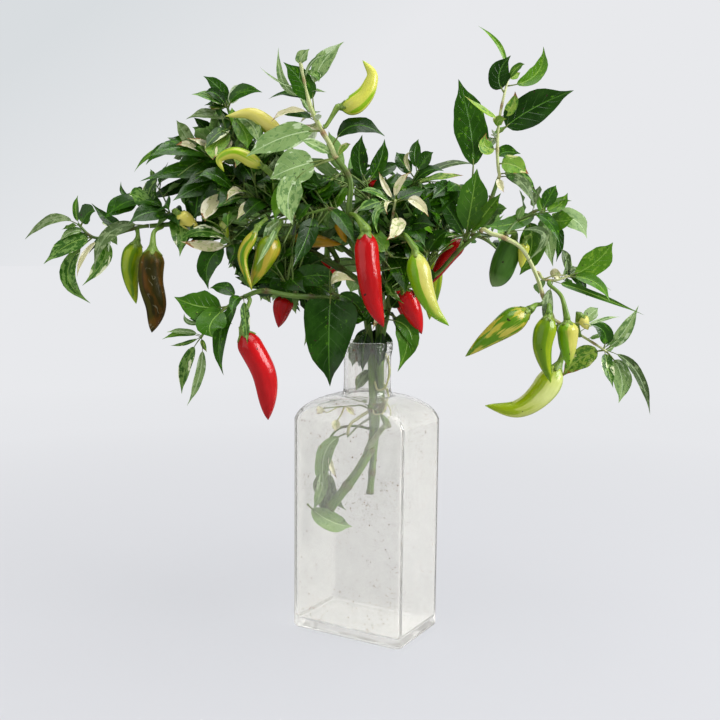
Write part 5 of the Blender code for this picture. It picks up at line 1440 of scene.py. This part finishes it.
# name: fresh skin, pale skin, joints, roughness.
STEM_LOOKS = {
    "leaf_stalk": ("#4A6A1A", "#6E8C38", "#6A5E2E"),
    "stem_green": ("#3E5C14", "#62802E", "#524220"),
    "stem_pale": ("#9AA862", "#C2C692", "#8A6A46"),
    "stem_steeped": ("#5E7448", "#8A9C70", "#6E5E46"),
    "pepper_calyx": ("#4E7416", "#7C9A3C", "#6A6A24", 0.42),
}
# name: body, second colour, band, its share, shoulder, tip, roughness, streaks, and, where they are
# not the usual ones, blush, where the tip's colour starts, shade and scuffs.
PEPPER_LOOKS = {
    "pepper_skin_red": ("#A20408", "#BE0C12", "#C61C22", 0.0, "#8A0406", "#84060A", 0.24, 0.3),
    "pepper_skin_striped": ("#BEB85E", "#B6B63E", "#6A9A04", 0.42, "#84A626", "#6EA004", 0.28, 0.2, 0.0, 0.5,
                            0.19),
    "pepper_skin_lime": ("#C4C256", "#C0C240", "#80A80A", 0.34, "#86A41A", "#8CB00C", 0.27, 0.3),
    "pepper_skin_banded": ("#A29A20", "#B0A844", "#4E7A02", 0.62, "#8E9430", "#6C8608", 0.34, 0.12),
    "pepper_skin_cream": ("#CEC256", "#D2CC74", "#9CAE28", 0.3, "#A0B038", "#A0B430", 0.3, 0.2),
    "pepper_skin_green": ("#80980A", "#96A616", "#5A7E02", 0.4, "#5C7406", "#80A406", 0.28, 0.3),
    # The dark pepper's pale tip colour is a painted highlight: the sheen over its lower end.
    "pepper_skin_dark": ("#2E580A", "#4E7630", "#204404", 0.36, "#3E6016", "#86A26A", 0.44, 0.25, 0.0, 0.66),
    "pepper_skin_olive": ("#3A3800", "#463C00", "#2A2600", 0.4, "#525600", "#2E2400", 0.46, 0.2,
                          0.4, 0.82, 0.0, 0.5),
    "pepper_skin_yellow": ("#A28E14", "#AC9A34", "#6C8608", 0.42, "#7A8A0A", "#7E9210", 0.3, 0.25),
    "pepper_skin_ochre": ("#AE8008", "#BE8E12", "#867A0A", 0.3, "#96800A", "#9E780A", 0.3, 0.25),
    "pepper_skin_pale": ("#B0BC3E", "#C6CE80", "#8EA60A", 0.44, "#B0C456", "#7EA204", 0.28, 0.2),
}


def finishes(maker, looks, *names):
    """The finishes of those names, each made once from its row of looks."""
    return [bpy.data.materials.get(name) or maker(name, *looks[name]) for name in names]


def leaf_finishes():
    return finishes(leaf_finish, LEAF_LOOKS, *LEAF_LOOKS) + finishes(stem_finish, STEM_LOOKS, "leaf_stalk")


def stem_finishes():
    return finishes(stem_finish, STEM_LOOKS, "stem_green", "stem_pale", "stem_steeped")


def pepper_finishes(skin):
    return (finishes(pepper_finish, PEPPER_LOOKS, f"pepper_skin_{skin}")
            + finishes(stem_finish, STEM_LOOKS, "pepper_calyx"))


def dress(skin, name, materials, slot, *nodes):
    """Make the piece, make it ride on the root, and hide the nodes it stands for.  The slot is not used."""
    piece = skin.build(name, materials)
    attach(piece, "root")
    if nodes:
        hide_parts(*nodes)


def grown_limbs():
    """The limbs and the stems of the sprays, by name."""
    limbs = {}
    for name, (parent, share, foot, tip, _, route) in LIMBS.items():
        points = bouquet(route)
        curve = rooted_route(limbs[parent], share, points, 8) if parent else smooth(points, 8)
        limbs[name] = Limb(curve, foot * MM, tip * MM)
    for name in SPRAYS:
        limbs[name] = Spray(name, limbs).twig
    return limbs


def shoulder_route(body):
    """A pepper's body in metres, and the point just before its shoulder where the stalk straightens."""
    body = bouquet(body)
    return body, body[0] - unit(body[1] - body[0]) * SHOULDER_RUN * MM


def pepper_routes(limbs, name):
    """A pepper's stalk and body as routes, its width and its fullness."""
    parent, share, bends, body, width, fullness, _ = PEPPERS[name]
    body, before = shoulder_route(body)
    points = np.vstack([bouquet(bends), before]) if bends else before[None]
    stalk = rooted_route(limbs[parent], share, points, 6)
    stalk = np.vstack([stalk, body[0] - (body[0] - before) * 0.5])
    return stalk, smooth(body, BODY_STEPS), width * MM, fullness


def paleness_slot(paleness):
    """The green or the pale finish of stem_finishes."""
    return 1 if paleness > 0.6 else 0


class ChilliBottle(bpy.types.Operator):
    """Make the clear glass bottle with its rounded shoulders, neck and collar"""

    bl_idname = "chilli.bottle"
    bl_label = "Bottle"

    def execute(self, context):
        skin = Skin()
        rings = bottle_rings()
        add_walls(skin, rings, rings[[0, -1]].mean(axis=1))
        dress(skin, "bottle_glass", [glass_finish()], "glass", "bottle")
        return {"FINISHED"}


class ChilliStems(bpy.types.Operator):
    """Make the cut stems and the boughs that grow from them"""

    bl_idname = "chilli.stems"
    bl_label = "Stems and boughs"

    def execute(self, context):
        limbs = grown_limbs()
        for number, (name, row) in enumerate(LIMBS.items()):
            skin, limb, slot, seed = Skin(), limbs[name], paleness_slot(row[4]), 1.0 + number * 0.37
            add_stem(skin, limb, 20, slot, seed)
            stubs = joints_along(limb.length, seed) if name.startswith("bough") else ()
            for at, joint in enumerate(stubs):
                add_stub(skin, limb, float(joint), at * GOLDEN_ANGLE + number, 3.2 * MM, 0.75 * MM, slot,
                         number + at * 0.3)
            dress(skin, f"{name}_skin", stem_finishes(), "stem", name)
        return {"FINISHED"}


class ChilliFoliage(bpy.types.Operator):
    """Make the twigs and leaves of every spray"""

    bl_idname = "chilli.foliage"
    bl_label = "Twigs and leaves"

    def execute(self, context):
        settings = context.scene.chilli_foliage
        limbs = grown_limbs()
        guard = Guard()
        for name in PEPPERS:
            _, body, width, _ = pepper_routes(limbs, name)
            guard.add(spaced(body, 9), width / 2, True)
        sprays = [Spray(name, limbs) for name in SPRAYS]
        for spray in sprays:
            spray.lead(guard, settings.leaf_scale)
        guard.close()
        for spray in sprays:
            spray.side_twigs()
            spray.fill_in(guard, settings.fullness)
            leaves, twigs = Skin(), Skin()
            add_leaves(leaves, spray.leading, *LEADING_GRID)
            add_leaves(leaves, spray.filling, *FILLING_GRID)
            slot = paleness_slot(spray.paleness)
            add_stem(twigs, spray.twig, 12, slot, spray.leaf_length * 0.1)
            for number, twig in enumerate(spray.twigs[1:]):
                route, radii = spaced(twig.route, 9), np.linspace(twig.foot_radius, twig.tip_radius, 9)
                add_tubes(twigs, route[None], radii[None], 7, slot, tone=0.2, seed=number * 0.7)
            dress(leaves, f"{spray.name}_leaves", leaf_finishes(), "leaf", spray.name)
            dress(twigs, f"{spray.name}_twigs", stem_finishes(), "stem", spray.name)
        return {"FINISHED"}


class ChilliPeppers(bpy.types.Operator):
    """Make the peppers with their calyxes and stalks"""

    bl_idname = "chilli.peppers"
    bl_label = "Peppers"

    def execute(self, context):
        limbs = grown_limbs()
        for number, name in enumerate(PEPPERS):
            skin, colour = Skin(), PEPPERS[name][-1]
            add_pepper(skin, *pepper_routes(limbs, name), 1.0 + number * 0.61, STOUT_STALKS.get(name, 1.0))
            dress(skin, f"{name}_fruit", pepper_finishes(colour), SKIN_SLOTS[colour], name)
        for number, (name, (stalk, body, width, fullness, colour)) in enumerate(SMALL_FRUIT.items()):
            skin = Skin()
            body, before = shoulder_route(body)
            route = smooth(np.vstack([bouquet(stalk), before]), 8)
            add_pepper(skin, route, smooth(body, BODY_STEPS), width * MM, fullness, 2.0 + number * 0.7)
            dress(skin, name, pepper_finishes(colour), SKIN_SLOTS[colour])
        return {"FINISHED"}


class ChilliInside(bpy.types.Operator):
    """Make the cut ends, thin twigs and pressed leaves inside the bottle"""

    bl_idname = "chilli.inside"
    bl_label = "Inside the bottle"

    def execute(self, context):
        random = np.random.default_rng(5)
        twigs, leaves, rows, rings = Skin(), Skin(), [], 26
        for number, (foot, tip, finish, route) in enumerate(INSIDE_TWIGS):
            curve = spaced(smooth(bouquet(route), 8), rings)
            add_tubes(twigs, curve[None], np.linspace(foot, tip, rings)[None] * MM, 10, finish, tone=0.3,
                      seed=number)
        for root, tip, width, kind, bend in INSIDE_LEAVES:
            bow = bouquet(bend)
            rows.append(leaf_row(bouquet(root), bouquet(tip), bow, bow * 0.8, unit(VIEWER + UP * 0.3),
                                 width * MM, kind, random, 0.1, fold=0.5, wave=0.2))
        add_leaves(leaves, rows, *LEADING_GRID)
        dress(twigs, "inside_twigs", stem_finishes(), "stem")
        dress(leaves, "inside_leaves", leaf_finishes(), "leaf")
        return {"FINISHED"}


# ================================================================ stage
# name: place in bouquet mm, size in metres, and the setting that holds its power.
LAMPS = {"key_lamp": ((960, -360, 640), 0.6, "key_power"),
         "fill_lamp": ((-860, -560, 480), 1.2, "fill_power"),
         "top_lamp": ((120, -100, 1150), 0.8, "top_power")}
LAMPS_AIM = (0, 0, 240)
FLOOR_REACH = (0.02, 0.1, 0.2, 0.35, 0.6, 1.0, 1.8, 3.5, 8.0)
FLOOR_SIDES = 64
FLOOR_HEIGHT = -0.0004


def stood(axes, spot):
    """The placing of a thing whose own three axes lie along the given ones."""
    return Matrix.Translation(spot) @ Matrix(np.array(axes).T.tolist()).to_4x4()


def air_finish(settings):
    """Bright studio air: full behind the plant, dimmer on the viewer's side and in shiny skins."""
    air = bpy.data.worlds.new("studio_air")
    air.use_nodes = True
    air.node_tree.nodes.clear()
    node = partial(add_node, air.node_tree)
    backdrop = (*settings.backdrop, 1.0)
    way = node("TexCoord").node.outputs["Generated"]
    path = node("LightPath").node.outputs

    def towards(direction, *span):
        return node("MapRange", (node("VectorMath", (way, tuple(direction)), "DOT_PRODUCT"), *span))

    seen = node("Math", (path["Is Camera Ray"], path["Is Transmission Ray"]), "MAXIMUM")
    even = towards(BACK * 0.8 + UP * 0.6, -0.7, 0.8, settings.near_light, 1.0)
    mirrored = towards(BACK, 0.7, 0.95, settings.mirrored_light, 1.0)
    keep = node("Math", (1.0, path["Is Glossy Ray"]), "SUBTRACT")
    light = node("Math", (node("Math", (even, keep), "MULTIPLY"),
                          node("Math", (mirrored, path["Is Glossy Ray"]), "MULTIPLY")), "ADD")
    corner = node("Math", (towards(UP * 0.8 - ACROSS * 0.6, 0.13, 0.31, 0.0, 1.0), path["Is Camera Ray"]),
                  "MULTIPLY")
    tint = node("Mix", (corner, backdrop, linear("#D9DDE0")), COLOURS)
    glow = node("Background", (tint, node("Math", (light, seen), "MAXIMUM")))
    node("OutputWorld", (glow,))
    return air


def paper_finish(settings):
    """Matt white paper, which fades into the colour of the air within a metre of the bottle."""
    paper, node = new_finish("matt_white_paper")
    floor, backdrop = (*settings.floor, 1.0), (*settings.backdrop, 1.0)
    place = node("TexCoord").node.outputs["Object"]
    far = node("VectorMath", (place,), "LENGTH")
    fibre = node("MapRange", (stretched(node, place, (1.0, 1.0, 1.0), 30.0, 3.0), 0.3, 0.7, 0.0, 0.04))
    tint = node("Mix", (fibre, linear("#C4C5C9"), floor), COLOURS)
    matt = node("BsdfPrincipled", {"Base Color": tint, "Roughness": 0.9, "Specular IOR Level": 0.1})
    path = node("LightPath").node.outputs
    mirrored = node("Math", (path["Is Glossy Ray"], path["Is Transmission Ray"]), "SUBTRACT")
    colour = node("Mix", (node("MapRange", (far, 0.15, 0.8, 0.0, 1.0)), floor, backdrop), COLOURS)
    glow = node("Emission", {"Color": colour, "Strength": node("MapRange", (mirrored, 0.0, 1.0, 1.0, 0.15))})
    node("OutputMaterial", (node("MixShader", (node("MapRange", (far, 0.1, 1.2, 0.76, 1.0)), matt, glow)),))
    return paper


class ChilliStage(bpy.types.Operator):
    """Set the camera, the lamps, the air and the pale floor"""

    bl_idname = "chilli.stage"
    bl_label = "Stage"

    def execute(self, context):
        settings, scene = context.scene.chilli_stage, context.scene
        scene.view_settings.view_transform = "Standard"
        right, upward, forward = camera_axes()
        camera = bpy.data.objects.new("camera", bpy.data.cameras.new("camera"))
        scene.collection.objects.link(camera)
        camera.data.lens = settings.lens
        camera.data.sensor_width = 36.0
        camera.data.clip_start, camera.data.clip_end = 0.02, 50.0
        camera.matrix_world = stood((right, upward, -forward), bouquet(CAMERA_SPOT))
        scene.camera = camera
        scene.world = air_finish(settings)
        for name, (place, size, power) in LAMPS.items():
            lamp = bpy.data.objects.new(name, bpy.data.lights.new(name, "AREA"))
            lamp.data.size, lamp.data.energy = size, getattr(settings, power)
            scene.collection.objects.link(lamp)
            away = unit(bouquet(place) - bouquet(LAMPS_AIM))
            level = unit(np.cross(UP if abs(away[2]) < 0.98 else BACK, away))
            lamp.matrix_world = stood((level, np.cross(away, level), away), bouquet(place))

        skin, reach = Skin(), np.array(FLOOR_REACH)
        angle = 2 * math.pi * np.arange(FLOOR_SIDES) / FLOOR_SIDES
        rings = np.stack([reach[:, None] * np.cos(angle), -reach[:, None] * np.sin(angle),
                          np.full((len(reach), FLOOR_SIDES), FLOOR_HEIGHT)], axis=-1)
        points = np.concatenate([[[0, 0, FLOOR_HEIGHT]] * 2, rings.reshape(-1, 3)])
        quads, tris = tube_faces(len(reach), FLOOR_SIDES)
        blank = np.zeros_like(points)
        skin.add(points, quads, tris[:FLOOR_SIDES], 0, 0, blank, blank)
        floor = skin.build("floor", [paper_finish(settings)])
        return {"FINISHED"}


class ChilliPanel(bpy.types.Panel):
    """Lists the pieces of the chilli stems and their settings"""

    bl_label = "Chilli stems"
    bl_idname = "VIEW3D_PT_chilli"
    bl_space_type = "VIEW_3D"
    bl_region_type = "UI"
    bl_category = "Chilli stems"

    def draw(self, context):
        for name in SETTINGS:
            settings = getattr(context.scene, name)
            for field in settings.__annotations__:
                self.layout.prop(settings, field)
        for operator in OPERATORS:
            self.layout.operator(operator.bl_idname)


OPERATORS = (ChilliStage, ChilliBottle, ChilliStems, ChilliInside, ChilliFoliage, ChilliPeppers)
SETTINGS = {"chilli_foliage": ChilliFoliageSettings, "chilli_stage": ChilliStageSettings}


def register():
    for group in (*SETTINGS.values(), *OPERATORS, ChilliPanel):
        bpy.utils.register_class(group)
    for name, group in SETTINGS.items():
        setattr(bpy.types.Scene, name, bpy.props.PointerProperty(type=group))


def unregister():
    for name in SETTINGS:
        delattr(bpy.types.Scene, name)
    for group in (ChilliPanel, *reversed(OPERATORS), *SETTINGS.values()):
        bpy.utils.unregister_class(group)


def main():
    register()
    bpy.ops.chilli.stage()
    bpy.ops.chilli.bottle()
    bpy.ops.chilli.stems()
    bpy.ops.chilli.inside()
    bpy.ops.chilli.foliage()
    bpy.ops.chilli.peppers()
    bpy.context.view_layer.update()


if __name__ == "__main__":
    main()
